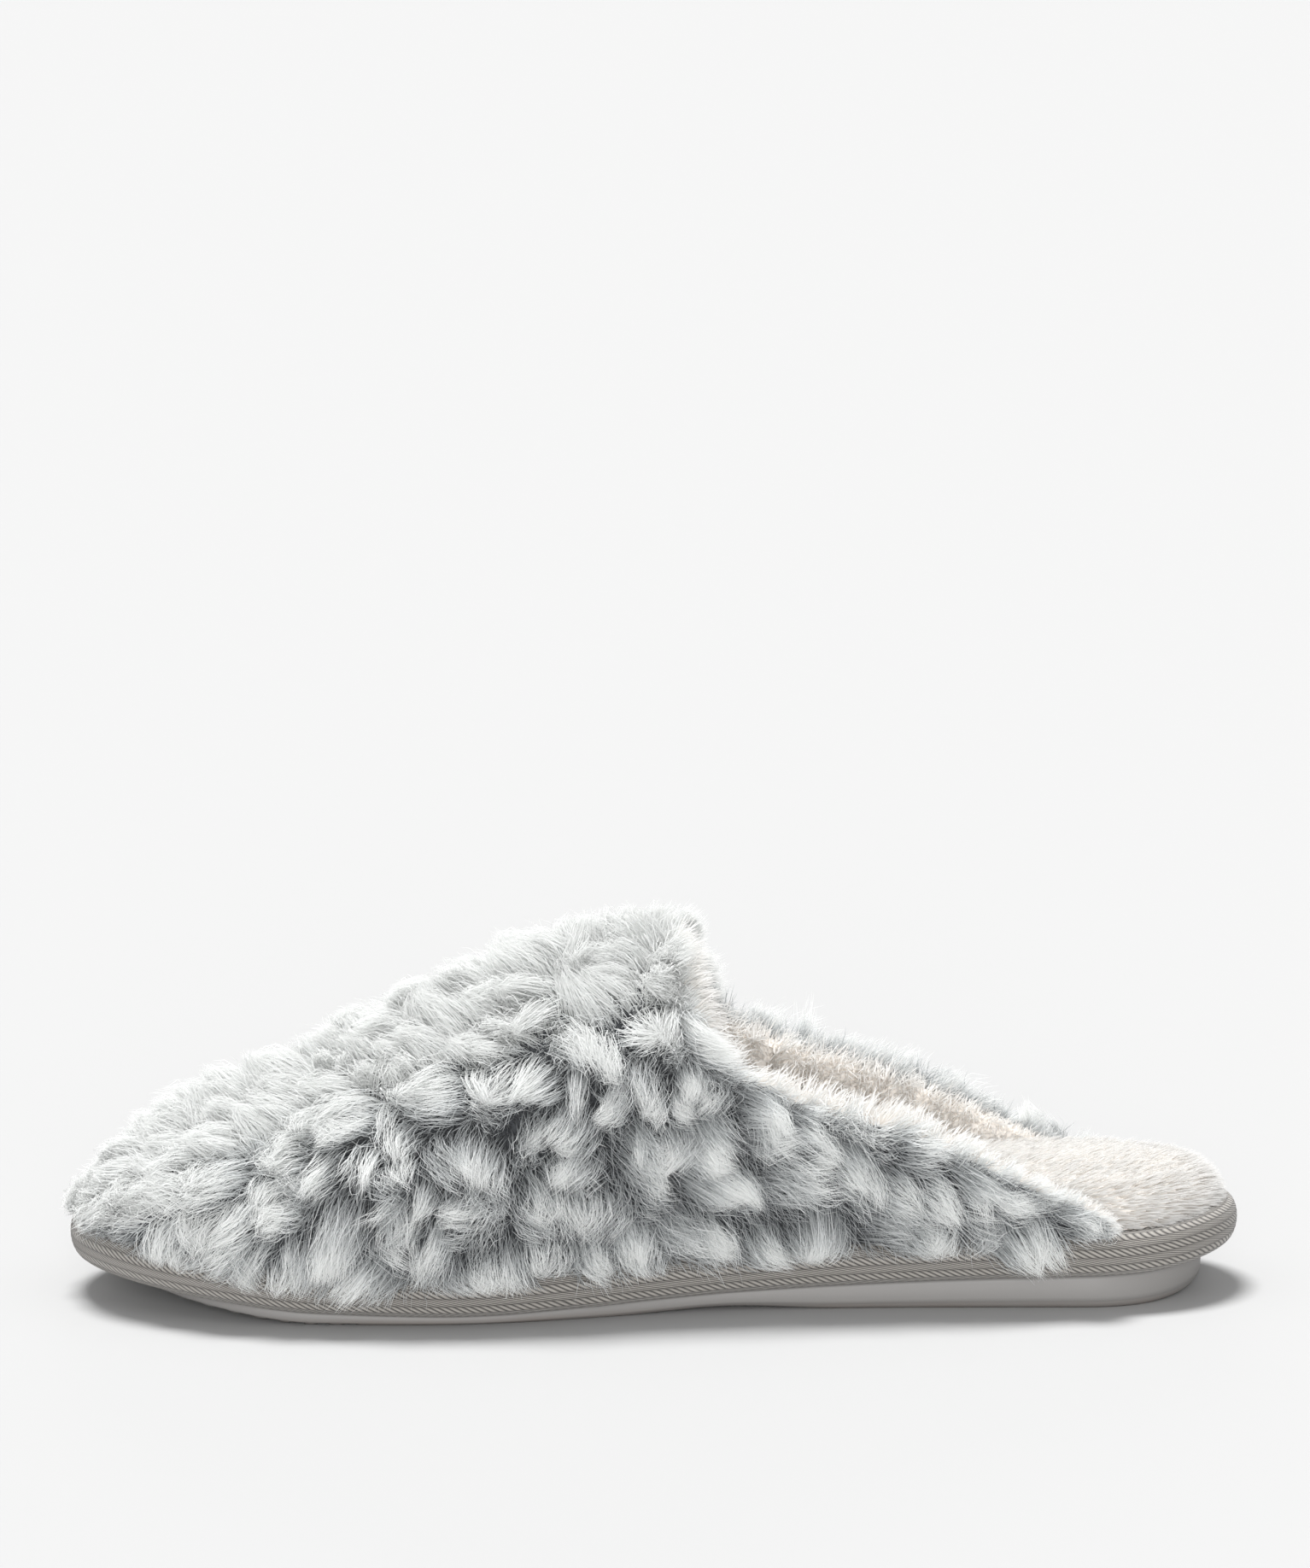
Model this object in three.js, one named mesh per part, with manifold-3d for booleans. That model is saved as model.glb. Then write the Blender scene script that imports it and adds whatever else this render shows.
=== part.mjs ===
// A backless scuff slipper: a right shoe with a deep-pile upper, a plush cushioned insole,
// a woven tape bound round the edge, and a thin moulded outsole.
// Millimetres. X runs from toe (-X) to heel (+X), +Y is the little-toe side, +Z is up.
// The origin is the middle of the heel's flat tread, on the floor.
import * as THREE from "three";
import { mergeVertices } from "three/addons/utils/BufferGeometryUtils.js";
import Module from "manifold-3d";

const wasm = await Module();
wasm.setup();

// Driving sizes
const LENGTH = 260; // heel to toe, over the edge binding
const BALL_WIDTH = 98;
const WAIST_WIDTH = 75;
const HEEL_WIDTH = 66;
const HEEL_ROUND = 35; // length of the rounding at the heel end
const TOE_ROUND = 56; // length of the rounding at the toe end
const TOE_FULLNESS = 2.15; // 2 is an ellipse, more is squarer
const HEEL_SEAT = 45; // heel end to the middle of the heel tread

// Heights above the floor
const HEEL_LIFT = 8; // underside of the binding at the heel
const BALL_LIFT = 2.6; // and at the ball
const TOE_SPRING = 9; // and at the toe tip
const ARCH_LIFT = 1; // outsole's waist clear of the floor
const HEEL_BEVEL = 2.2; // outsole's back edge clear of the floor
const TOE_CLEAR = 7.2; // outsole's front edge clear of the floor

// Edge binding: a tape folded round the platform's edge
const BINDING_HEIGHT = 9;
const TAPE = 1.2;
const BEAD_DEPTH = 2.4; // how far the fold bulges past its own lips
const LIP_OVER = 6; // width of the tape on top
const LIP_UNDER = 9.5; // and underneath

// Outsole
const SOLE_SETBACK = 4; // behind the binding's edge, along the sides
const HEEL_SETBACK = 8;
const TOE_SETBACK = 14;
const HEEL_TAPER = 0.14; // share of the length over which the setback grows to the heel
const TOE_TAPER = 0.2; // and to the toe
const SOLE_STEP = 0.6; // the tread layer stands this far behind the side wall
const SOLE_BEVEL = 1.7;
const LUG_PITCH = 5.6;
const LUG_GROOVE = 2;
const LUG_DEPTH = 1.2;
const GROOVE_MARGIN = 5; // plain rim beside the grooves that stop short of the side wall

// Insole cushion
const HEEL_CUSHION = 11; // crown above the binding
const FORE_CUSHION = 4;
const CUSHION_ROLL = 7; // width of its rounded edge

// Upper
const INSTEP_RISE = 64; // crown of the vamp above the binding, at the throat
const ANKLE_RISE = 76; // the last goes on up behind the throat
const TOE_BOX = 30; // length of the rounding over the toes
const TOE_BOX_FULLNESS = 1.5; // below 2 it leans back
const TOE_RISE = 18.5; // height of the toe box
const SECTION_FULLNESS = 2.12;
const RIDGE_SHIFT = 4; // the instep's crest lies towards the big-toe side
const WALL = 4; // fabric, wadding and lining
const FOOT_INSET = 0.8; // the upper's foot stands this far inside the binding

// Locks of the deep pile
const LOCK_PITCH = 12.4;
const LOCK_RADIUS = 6;
const CREST_LOCK = { stand: 10, sweep: 7 }; // tip above the fabric, and carried along it
const SIDE_LOCK = { stand: 7, sweep: 10 };
const OVERHANG = 4; // the lowest locks hang this far over the binding
const FRONT_ROW = 0.4; // the throat's row stands this share of a pitch in front of the edge

const CLEARANCE = 0.3; // between touching pieces

// How finely things are drawn
const AROUND = 64; // points round the sole, even and a multiple of 4
const ARCH_STEPS = 18; // points over the upper
const BEAD_STEPS = 3;
const INNER_BEAD_STEPS = 2;
const ROLL_STEPS = 3;
const LOCK_SIDES = 4;

// Plan of the binding, seen from above. at: share of the length from the heel.
// half: half width; centre: sideways shift, + towards the little toe, as a share of the ball width.
const PLAN = [
  { at: 0, half: 0.5 * HEEL_WIDTH, centre: 0 },
  { at: 0.17, half: 0.5 * HEEL_WIDTH, centre: 0 },
  { at: 0.42, half: 0.5 * WAIST_WIDTH, centre: 0.024 },
  { at: 0.68, half: 0.5 * BALL_WIDTH, centre: 0 },
  { at: 0.85, half: 0.47 * BALL_WIDTH, centre: -0.022 },
  { at: 1, half: 0.41 * BALL_WIDTH, centre: -0.06 },
];

// Heights along the length. under: underside of the binding; tread: underside of the outsole.
const PROFILE = [
  { at: 0, under: 1.35 * HEEL_LIFT, tread: HEEL_BEVEL },
  { at: 0.09, under: 1.04 * HEEL_LIFT, tread: 0 },
  { at: 0.22, under: 0.93 * HEEL_LIFT, tread: 0 },
  { at: 0.34, under: 0.78 * HEEL_LIFT, tread: 0 },
  { at: 0.44, under: 0.62 * HEEL_LIFT, tread: ARCH_LIFT },
  { at: 0.54, under: 1.4 * BALL_LIFT, tread: 0 },
  { at: 0.66, under: BALL_LIFT, tread: 0 },
  { at: 0.78, under: 1.3 * BALL_LIFT, tread: 0 },
  { at: 0.88, under: 0.64 * TOE_SPRING, tread: 0.39 * TOE_CLEAR },
  { at: 1, under: TOE_SPRING, tread: TOE_CLEAR },
];

// Crown of the last above the binding, without the toe's own rounding.
const CREST = [
  { at: 0, rise: ANKLE_RISE },
  { at: 0.3, rise: 0.97 * ANKLE_RISE },
  { at: 0.48, rise: INSTEP_RISE },
  { at: 0.6, rise: 0.91 * INSTEP_RISE },
  { at: 0.72, rise: 0.69 * INSTEP_RISE },
  { at: 0.84, rise: 0.42 * INSTEP_RISE },
  { at: 0.93, rise: 1.02 * TOE_RISE },
  { at: 1, rise: 0.92 * TOE_RISE },
];

// The topline, from the wing's end at the heel up to the throat. over: share of the instep's rise.
const TOPLINE = [
  { at: 0.106, over: -0.08 },
  { at: 0.118, over: 0.04 },
  { at: 0.185, over: 0.17 },
  { at: 0.258, over: 0.32 },
  { at: 0.335, over: 0.435 },
  { at: 0.388, over: 0.51 },
  { at: 0.431, over: 0.59 },
  { at: 0.456, over: 0.69 },
  { at: 0.473, over: 0.85 },
  { at: 0.484, over: 1 },
  { at: 0.49, over: 1.2 },
];

// Crown of the cushion above the binding.
const CUSHION = [
  { at: 0, rise: 0.75 * HEEL_CUSHION },
  { at: 0.15, rise: HEEL_CUSHION },
  { at: 0.32, rise: 0.8 * HEEL_CUSHION },
  { at: 0.52, rise: 1.2 * FORE_CUSHION },
  { at: 0.75, rise: FORE_CUSHION },
  { at: 1, rise: 0.6 * FORE_CUSHION },
];

// Zones of cross grooves under the sole, each laid out from the middle of a land.
// open: from this share on, a zone's grooves run out through the side wall.
const TREADS = [
  { from: 0.065, middle: HEEL_SEAT / LENGTH, to: 0.36, open: 1 },
  { from: 0.5, middle: 0.68, to: 0.92, open: 0.745 },
];

// Nap of the pile on the sides. toeward: lean towards the toe, negative towards the heel.
const NAP = [
  { at: 0.1, toeward: -0.95 },
  { at: 0.35, toeward: -0.8 },
  { at: 0.5, toeward: -0.55 },
  { at: 0.62, toeward: -0.1 },
  { at: 0.75, toeward: 0.35 },
  { at: 0.88, toeward: 0.55 },
  { at: 1, toeward: 0.5 },
];

// Smooth value of a table's column at a share of the length, with no overshoot between rows.
function read(table, column, at) {
  const last = table.length - 2;
  let k = table.findIndex((row, i) => i <= last && at <= table[i + 1].at);
  if (k < 0) k = last;
  const slope = (i) =>
    (table[i + 1][column] - table[i][column]) / (table[i + 1].at - table[i].at);
  const tangent = (i) => {
    if (i === 0) return slope(0);
    if (i > last) return slope(last);
    const before = slope(i - 1);
    const after = slope(i);
    return before * after <= 0 ? 0 : (2 * before * after) / (before + after);
  };
  const span = table[k + 1].at - table[k].at;
  const t = THREE.MathUtils.clamp((at - table[k].at) / span, 0, 1);
  const t2 = t * t;
  const t3 = t2 * t;
  return (
    (2 * t3 - 3 * t2 + 1) * table[k][column] +
    (t3 - 2 * t2 + t) * span * tangent(k) +
    (3 * t2 - 2 * t3) * table[k + 1][column] +
    (t3 - t2) * span * tangent(k + 1)
  );
}

const shareAt = (x) => (HEEL_SEAT - x) / LENGTH;
const placeAt = (at) => HEEL_SEAT - at * LENGTH;
const under = (x) => read(PROFILE, "under", shareAt(x));
const tread = (x) => read(PROFILE, "tread", shareAt(x));
const footHeight = (x) => under(x) + BINDING_HEIGHT + CLEARANCE;

// Falls from 1 to 0 over the last stretch before an end, as a superellipse.
function endRound(distance, stretch, fullness) {
  if (distance >= stretch) return 1;
  const out = 1 - Math.max(distance, 0) / stretch;
  return (1 - out ** fullness) ** (1 / fullness);
}

// The binding's outline: point 0 is the heel end, AROUND / 2 the toe, the first half the big-toe side.
const outline = Array.from({ length: AROUND }, (_, i) => {
  const turn = (2 * Math.PI * i) / AROUND;
  const at = (1 - Math.cos(turn)) / 2;
  const half =
    read(PLAN, "half", at) *
    endRound(at * LENGTH, HEEL_ROUND, 2) *
    endRound((1 - at) * LENGTH, TOE_ROUND, TOE_FULLNESS);
  const side = i === 0 || 2 * i === AROUND ? 0 : Math.sign(Math.sin(turn));
  const y = read(PLAN, "centre", at) * BALL_WIDTH - side * half;
  return new THREE.Vector2(placeAt(at), y);
});

const inward = outline.map((_, i) => {
  const before = outline[(i + AROUND - 1) % AROUND];
  const after = outline[(i + 1) % AROUND];
  const along = after.clone().sub(before).normalize();
  return new THREE.Vector2(along.y, -along.x);
});
if (inward[0].x > 0) inward.forEach((n) => n.negate());

// Outline point i moved inwards.
function edge(i, inset) {
  const k = i % AROUND;
  return outline[k].clone().addScaledVector(inward[k], inset);
}

// Joins two rows of vertex numbers by a band of triangles.
function band(faces, low, high, closed) {
  const last = closed ? low.length : low.length - 1;
  for (let i = 0; i < last; i++) {
    const j = (i + 1) % low.length;
    faces.push([low[i], low[j], high[j]], [low[i], high[j], high[i]]);
  }
}

// Fills a ring round the sole with cross rungs; height(x, across) sets the inner points.
function fill(points, faces, ring, columns, height) {
  const half = AROUND / 2;
  let before = [ring[0]];
  for (let k = 1; k <= half; k++) {
    const a = points[ring[k]];
    const b = points[ring[(AROUND - k) % AROUND]];
    const rung = [ring[k]];
    if (k < half) {
      for (let c = 1; c < columns; c++) {
        const p = a.clone().lerp(b, c / columns);
        p.z = height(p.x, c / columns);
        rung.push(points.push(p) - 1);
      }
      rung.push(ring[AROUND - k]);
    }
    if (before.length === 1) {
      for (let c = 0; c < columns; c++) faces.push([before[0], rung[c], rung[c + 1]]);
    } else if (rung.length === 1) {
      for (let c = 0; c < columns; c++) faces.push([rung[0], before[c + 1], before[c]]);
    } else {
      band(faces, rung, before, false);
    }
    before = rung;
  }
}

// A solid from points and triangles, turned so that its faces point out.
function solidOf(points, faces) {
  let volume = 0;
  for (const [a, b, c] of faces) {
    volume += points[a].dot(points[b].clone().cross(points[c]));
  }
  const turned = volume < 0 ? faces.map(([a, b, c]) => [a, c, b]) : faces;
  const vertProperties = new Float32Array(points.flatMap((p) => p.toArray()));
  const triVerts = new Uint32Array(turned.flat());
  return new wasm.Manifold(new wasm.Mesh({ numProp: 3, vertProperties, triVerts }));
}

// A solid from a three.js geometry.
function solidFrom(geometry) {
  const plain = geometry.index ? geometry.toNonIndexed() : geometry.clone();
  plain.deleteAttribute("normal");
  plain.deleteAttribute("uv");
  const merged = mergeVertices(plain, 1e-4);
  const p = merged.attributes.position;
  const points = Array.from({ length: p.count }, (_, i) =>
    new THREE.Vector3().fromBufferAttribute(p, i),
  );
  const order = merged.index.array;
  const faces = [];
  for (let i = 0; i < order.length; i += 3) faces.push([order[i], order[i + 1], order[i + 2]]);
  return solidOf(points, faces);
}

function meshOf(name, solid, look) {
  const made = solid.getMesh();
  const step = made.numProp;
  const places = new Float32Array(made.numVert * 3);
  for (let i = 0; i < made.numVert; i++) {
    places.set(made.vertProperties.subarray(i * step, i * step + 3), i * 3);
  }
  const geometry = new THREE.BufferGeometry();
  geometry.setAttribute("position", new THREE.BufferAttribute(places, 3));
  geometry.setIndex(new THREE.BufferAttribute(new Uint32Array(made.triVerts), 1));
  const mesh = new THREE.Mesh(geometry, new THREE.MeshStandardMaterial(look));
  mesh.name = name;
  return mesh;
}

// Rings round the sole from profile points: inset and height may depend on the place.
function rings(points, profile) {
  return profile.map(({ inset, height }) =>
    Array.from({ length: AROUND }, (_, i) => {
      const p = edge(i, typeof inset === "function" ? inset(i) : inset);
      return points.push(new THREE.Vector3(p.x, p.y, height(p.x))) - 1;
    }),
  );
}

// A rounded fold: angles from under to over, as inset and height above the underside.
function fold(skin, steps) {
  const middle = BINDING_HEIGHT / 2;
  return Array.from({ length: steps + 1 }, (_, i) => {
    const angle = Math.PI * (i / steps - 0.5);
    return {
      inset: skin + (BEAD_DEPTH - skin / 2) * (1 - Math.cos(angle)),
      height: (x) => under(x) + middle + (middle - skin) * Math.sin(angle),
    };
  });
}

// The tape: a C-shaped band whose lips lie over and under the platform.
function edgeBinding() {
  const points = [];
  const faces = [];
  const profile = [
    { inset: LIP_UNDER, height: (x) => under(x) },
    ...fold(0, BEAD_STEPS),
    { inset: LIP_OVER, height: (x) => under(x) + BINDING_HEIGHT },
    { inset: LIP_OVER, height: (x) => under(x) + BINDING_HEIGHT - TAPE },
    ...fold(TAPE, INNER_BEAD_STEPS).reverse(),
    { inset: LIP_UNDER, height: (x) => under(x) + TAPE },
  ];
  const loops = rings(points, profile);
  loops.forEach((loop, i) => band(faces, loop, loops[(i + 1) % loops.length], true));
  return solidOf(points, faces);
}

// The platform inside the tape, with the cushion crowned above it.
function insole() {
  const points = [];
  const faces = [];
  const inner = TAPE + CLEARANCE;
  const rim = LIP_OVER + CLEARANCE;
  const crown = (x) => read(CUSHION, "rise", shareAt(x));
  const roll = Array.from({ length: ROLL_STEPS + 1 }, (_, i) => {
    const angle = (Math.PI / 2) * (i / ROLL_STEPS);
    return {
      inset: rim + CUSHION_ROLL * (1 - Math.cos(angle)),
      height: (x) => under(x) + BINDING_HEIGHT + 0.88 * crown(x) * Math.sin(angle),
    };
  });
  const profile = [
    { inset: LIP_UNDER + CLEARANCE, height: (x) => under(x) },
    { inset: LIP_UNDER + CLEARANCE, height: (x) => under(x) + inner },
    ...fold(inner, INNER_BEAD_STEPS),
    { inset: rim, height: (x) => under(x) + BINDING_HEIGHT - inner },
    ...roll,
  ];
  const loops = rings(points, profile);
  for (let i = 1; i < loops.length; i++) band(faces, loops[i - 1], loops[i], true);
  const flip = [];
  fill(points, flip, loops[0], 1, (x) => under(x));
  faces.push(...flip.map(([a, b, c]) => [a, c, b]));
  fill(points, faces, loops[loops.length - 1], 4, (x, across) => {
    const bow = 0.88 + 0.12 * Math.sin(Math.PI * across);
    return under(x) + BINDING_HEIGHT + bow * crown(x);
  });
  return solidOf(points, faces);
}

// The moulded sole: side wall, stepped tread layer, arch and toe spring, cut by cross grooves.
function outsole() {
  const points = [];
  const faces = [];
  const setback = (i) => {
    const at = shareAt(outline[i].x);
    const heel = Math.max(0, 1 - at / HEEL_TAPER) ** 2;
    const toe = Math.max(0, 1 - (1 - at) / TOE_TAPER) ** 2;
    return (
      SOLE_SETBACK +
      (HEEL_SETBACK - SOLE_SETBACK) * heel +
      (TOE_SETBACK - SOLE_SETBACK) * toe
    );
  };
  const level = (share) => (x) =>
    tread(x) + share * (under(x) - CLEARANCE - tread(x));
  const profile = [
    { inset: (i) => setback(i) + SOLE_BEVEL, height: level(0) },
    { inset: (i) => setback(i) + SOLE_STEP, height: level(0.16) },
    { inset: (i) => setback(i) + SOLE_STEP, height: level(0.3) },
    { inset: (i) => setback(i), height: level(0.36) },
    { inset: (i) => setback(i), height: level(1) },
  ];
  const loops = rings(points, profile);
  for (let i = 1; i < loops.length; i++) band(faces, loops[i - 1], loops[i], true);
  const flip = [];
  fill(points, flip, loops[0], 1, tread);
  faces.push(...flip.map(([a, b, c]) => [a, c, b]));
  fill(points, faces, loops[loops.length - 1], 1, level(1));
  // Middle and width of a groove across the sole, up to the plain rim or right through.
  const across = (x, open) => {
    if (open) return { middle: 0, width: 2 * BALL_WIDTH };
    const at = (i) => edge(i, setback(i % AROUND) + GROOVE_MARGIN);
    let k = 1;
    while (at(k).x > x) k++;
    const t = (at(k - 1).x - x) / (at(k - 1).x - at(k).x);
    const near = at(k - 1).lerp(at(k), t).y;
    const far = at(AROUND - k + 1).lerp(at(AROUND - k), t).y;
    return { middle: (near + far) / 2, width: far - near };
  };
  const grooves = [];
  for (const zone of TREADS) {
    const first = Math.ceil(((zone.from - zone.middle) * LENGTH) / LUG_PITCH);
    const last = Math.floor(((zone.to - zone.middle) * LENGTH) / LUG_PITCH);
    for (let k = first; k < last; k++) {
      const x = placeAt(zone.middle) - (k + 0.5) * LUG_PITCH;
      const depth = Math.min(LUG_DEPTH, 0.5 * (under(x) - CLEARANCE - tread(x)));
      const { middle, width } = across(x, shareAt(x) > zone.open);
      const bar = new THREE.BoxGeometry(LUG_GROOVE, width, 2 * depth);
      bar.translate(x, middle, tread(x));
      grooves.push(solidFrom(bar));
    }
  }
  return solidOf(points, faces).subtract(wasm.Manifold.union(grooves));
}

// Rung k of the last: a row of points from the big-toe side over the crest to the other side.
function arch(k) {
  const a = edge(k, FOOT_INSET);
  const b = edge(AROUND - k, FOOT_INSET);
  const at = shareAt((a.x + b.x) / 2);
  const toTip = (1 - at) * LENGTH - FOOT_INSET;
  const box = endRound(toTip, TOE_BOX, TOE_BOX_FULLNESS);
  const rise = box * read(CREST, "rise", at);
  const shift = box * RIDGE_SHIFT;
  const power = 2 / SECTION_FULLNESS;
  return Array.from({ length: ARCH_STEPS + 1 }, (_, j) => {
    const angle = (Math.PI * j) / ARCH_STEPS;
    const up = j === 0 || j === ARCH_STEPS ? 0 : Math.sin(angle) ** power;
    const out = Math.sign(Math.cos(angle)) * Math.abs(Math.cos(angle)) ** power;
    const plan = a.clone().lerp(b, (1 - out) / 2);
    return new THREE.Vector3(plan.x, plan.y - shift * up, footHeight(plan.x) + rise * up);
  });
}

const WING_END = TOPLINE[1].at;
const THROAT = TOPLINE[TOPLINE.length - 1].at;
const firstRung = outline.findIndex((p) => shareAt(p.x) > WING_END) - 2;
const rungs = [];
for (let k = firstRung; k <= AROUND / 2; k++) rungs.push(arch(k));

// Outward normal of the last at rung r, point j.
function normalAt(r, j) {
  const last = rungs.length - 1;
  const along = rungs[Math.min(r + 1, last)][j].clone();
  along.sub(rungs[Math.max(r - 1, 0)][j]);
  const over = rungs[r][Math.min(j + 1, ARCH_STEPS)].clone();
  over.sub(rungs[r][Math.max(j - 1, 0)]);
  const normal = along.cross(over).normalize();
  return normal.z < 0 ? normal.negate() : normal;
}

// The upper's wall, still closed over the top at the heel end.
function wall() {
  const points = [];
  const faces = [];
  const tip = rungs.length - 1;
  const place = (p) => points.push(p) - 1;
  const outer = rungs.slice(0, tip).map((row) => row.map(place));
  const inner = rungs.slice(0, tip).map((row, r) =>
    row.map((p, j) => {
      if (j > 0 && j < ARCH_STEPS) {
        return place(p.clone().addScaledVector(normalAt(r, j), -WALL));
      }
      const k = firstRung + r;
      const foot = edge(j === 0 ? k : AROUND - k, FOOT_INSET + WALL);
      return place(new THREE.Vector3(foot.x, foot.y, footHeight(foot.x)));
    }),
  );
  const toe = [FOOT_INSET, FOOT_INSET + WALL].map((inset) => {
    const p = edge(AROUND / 2, inset);
    return place(new THREE.Vector3(p.x, p.y, footHeight(p.x)));
  });
  for (let r = 1; r < tip; r++) {
    band(faces, outer[r - 1], outer[r], false);
    band(faces, inner[r], inner[r - 1], false);
  }
  for (let j = 0; j < ARCH_STEPS; j++) {
    faces.push([outer[tip - 1][j], outer[tip - 1][j + 1], toe[0]]);
    faces.push([inner[tip - 1][j + 1], inner[tip - 1][j], toe[1]]);
  }
  const side = (grid, j, end) => [...grid.map((row) => row[j]), end];
  band(faces, side(outer, 0, toe[0]), side(inner, 0, toe[1]), false);
  band(faces, side(inner, ARCH_STEPS, toe[1]), side(outer, ARCH_STEPS, toe[0]), false);
  band(faces, inner[0], outer[0], false);
  return solidOf(points, faces);
}

// Height of the topline at a place, and what lies above and behind it as a cutter.
const toplineHeight = (at) =>
  footHeight(placeAt(at)) + read(TOPLINE, "over", at) * INSTEP_RISE;

function collarCutter() {
  const far = 2 * LENGTH;
  const start = TOPLINE[0].at;
  const shape = new THREE.Shape();
  const steps = 36;
  shape.moveTo(placeAt(start), toplineHeight(start));
  for (let i = 1; i <= steps; i++) {
    const at = THREE.MathUtils.lerp(start, THROAT, i / steps);
    shape.lineTo(placeAt(at), toplineHeight(at));
  }
  shape.lineTo(placeAt(THROAT), far);
  shape.lineTo(far, far);
  shape.lineTo(far, toplineHeight(start));
  shape.closePath();
  const block = new THREE.ExtrudeGeometry(shape, { depth: 2 * BALL_WIDTH, bevelEnabled: false });
  block.rotateX(Math.PI / 2);
  block.translate(0, BALL_WIDTH, 0);
  return solidFrom(block);
}

// One lock of pile: a bent spike with its root inside the wall.
function lock(root, normal, comb, stand, sweep) {
  const points = [];
  const faces = [];
  const across = normal.clone().cross(comb).normalize();
  const place = (up, along) =>
    root.clone().addScaledVector(normal, up).addScaledVector(comb, along);
  const girdle = (middle, radius, lean) => {
    const axis = normal.clone().addScaledVector(comb, lean).normalize();
    const other = across.clone().cross(axis).normalize();
    return Array.from({ length: LOCK_SIDES }, (_, i) => {
      const angle = (2 * Math.PI * i) / LOCK_SIDES;
      const p = middle.clone().addScaledVector(across, radius * Math.cos(angle));
      return points.push(p.addScaledVector(other, radius * Math.sin(angle))) - 1;
    });
  };
  const foot = girdle(place(-0.3 * WALL, 0), LOCK_RADIUS, 0);
  const belly = girdle(place(0.52 * stand, 0.3 * sweep), 0.8 * LOCK_RADIUS, sweep / stand / 2);
  const tip = points.push(place(stand, sweep)) - 1;
  band(faces, foot, belly, true);
  for (let i = 0; i < LOCK_SIDES; i++) {
    faces.push([belly[i], belly[(i + 1) % LOCK_SIDES], tip]);
    if (i > 1) faces.push([foot[0], foot[i], foot[i - 1]]);
  }
  return solidOf(points, faces);
}

// How far along a row of points a distance lies, counted in points.
function walk(row, distance) {
  let gone = 0;
  for (let j = 1; j < row.length; j++) {
    const step = row[j].distanceTo(row[j - 1]);
    if (gone + step >= distance) return j - 1 + (distance - gone) / step;
    gone += step;
  }
  return row.length - 1;
}
const lengthOf = (row) => row.slice(1).reduce((sum, p, j) => sum + p.distanceTo(row[j]), 0);

// The last at rung r, point j, both of which may lie between two points.
function lastAt(r, j) {
  const row = rungs[Math.floor(r)];
  const next = rungs[Math.min(Math.floor(r) + 1, rungs.length - 1)];
  const low = Math.min(Math.floor(j), ARCH_STEPS - 1);
  const near = row[low].clone().lerp(row[low + 1], j - low);
  const far = next[low].clone().lerp(next[low + 1], j - low);
  return near.lerp(far, r - Math.floor(r));
}

// A lock rooted at rung r, point j of the last, or nothing where the collar or the binding is.
function lockAt(r, j, swirl) {
  const root = lastAt(r, j);
  const drop = root.z - footHeight(root.x);
  const at = shareAt(root.x);
  if (drop < LOCK_RADIUS + CLEARANCE) return [];
  if (at < THROAT && root.z > toplineHeight(at) - 0.8 * LOCK_RADIUS) return [];
  const normal = normalAt(Math.round(r), Math.round(j));
  const down = lastAt(r, j + (2 * j < ARCH_STEPS ? -0.1 : 0.1)).sub(root).normalize();
  const steep = Math.abs(1 - (2 * j) / ARCH_STEPS);
  const side = THREE.MathUtils.clamp(1.8 * steep - 0.35, 0, 1);
  const toeward = THREE.MathUtils.lerp(1, read(NAP, "toeward", at), side);
  const comb = new THREE.Vector3(swirl - toeward, 0, 0);
  comb.addScaledVector(down, 0.2 + 0.8 * side);
  comb.addScaledVector(normal, -comb.dot(normal)).normalize();
  const stand = THREE.MathUtils.lerp(CREST_LOCK.stand, SIDE_LOCK.stand, steep);
  const sweep = THREE.MathUtils.lerp(CREST_LOCK.sweep, SIDE_LOCK.sweep, steep);
  const hang = (drop + OVERHANG) / Math.max(-comb.z, 0.1);
  return [lock(root, normal, comb, stand, Math.min(sweep, hang))];
}

// The locks stand in staggered rows, combed towards the toe on top, down the sides and back
// along the wings.
function pile() {
  const locks = [];
  const crest = rungs.map((row) => row[ARCH_STEPS / 2]);
  const throat = crest.findIndex((p) => shareAt(p.x) > THROAT);
  const past = placeAt(THROAT) - crest[throat].x;
  const toThroat = lengthOf(crest.slice(0, throat + 1)) - past;
  const first = -Math.floor(toThroat / LOCK_PITCH);
  const last = Math.floor((lengthOf(crest) - toThroat) / LOCK_PITCH - FRONT_ROW);
  for (let n = first; n <= last; n++) {
    const r = walk(crest, toThroat + (n + FRONT_ROW) * LOCK_PITCH);
    const girth = lengthOf(rungs[Math.round(r)]);
    const count = Math.round(girth / LOCK_PITCH);
    for (let m = 0; m < count; m++) {
      const share = (m + (n % 2 ? 0.25 : 0.75)) / count;
      const swirl = 0.35 * Math.sin(2.4 * n + 1.7 * m);
      locks.push(...lockAt(r, walk(rungs[Math.round(r)], share * girth), swirl));
    }
  }
  return locks;
}

// The upper: the hollow wall open at the collar, with the pile fused on.
function upper() {
  const shell = wall().subtract(collarCutter());
  return wasm.Manifold.union([shell, ...pile()]);
}

const slipper = new THREE.Group();
slipper.add(meshOf("outsole", outsole(), { color: 0xe9e9ea, roughness: 0.6, metalness: 0 }));
slipper.add(meshOf("edge_binding", edgeBinding(), { color: 0xb9b7b2, roughness: 0.9, metalness: 0 }));
slipper.add(meshOf("insole", insole(), { color: 0xf1ece6, roughness: 1, metalness: 0 }));
slipper.add(meshOf("upper", upper(), { color: 0xcfd1d2, roughness: 1, metalness: 0 }));

export default slipper;
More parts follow.
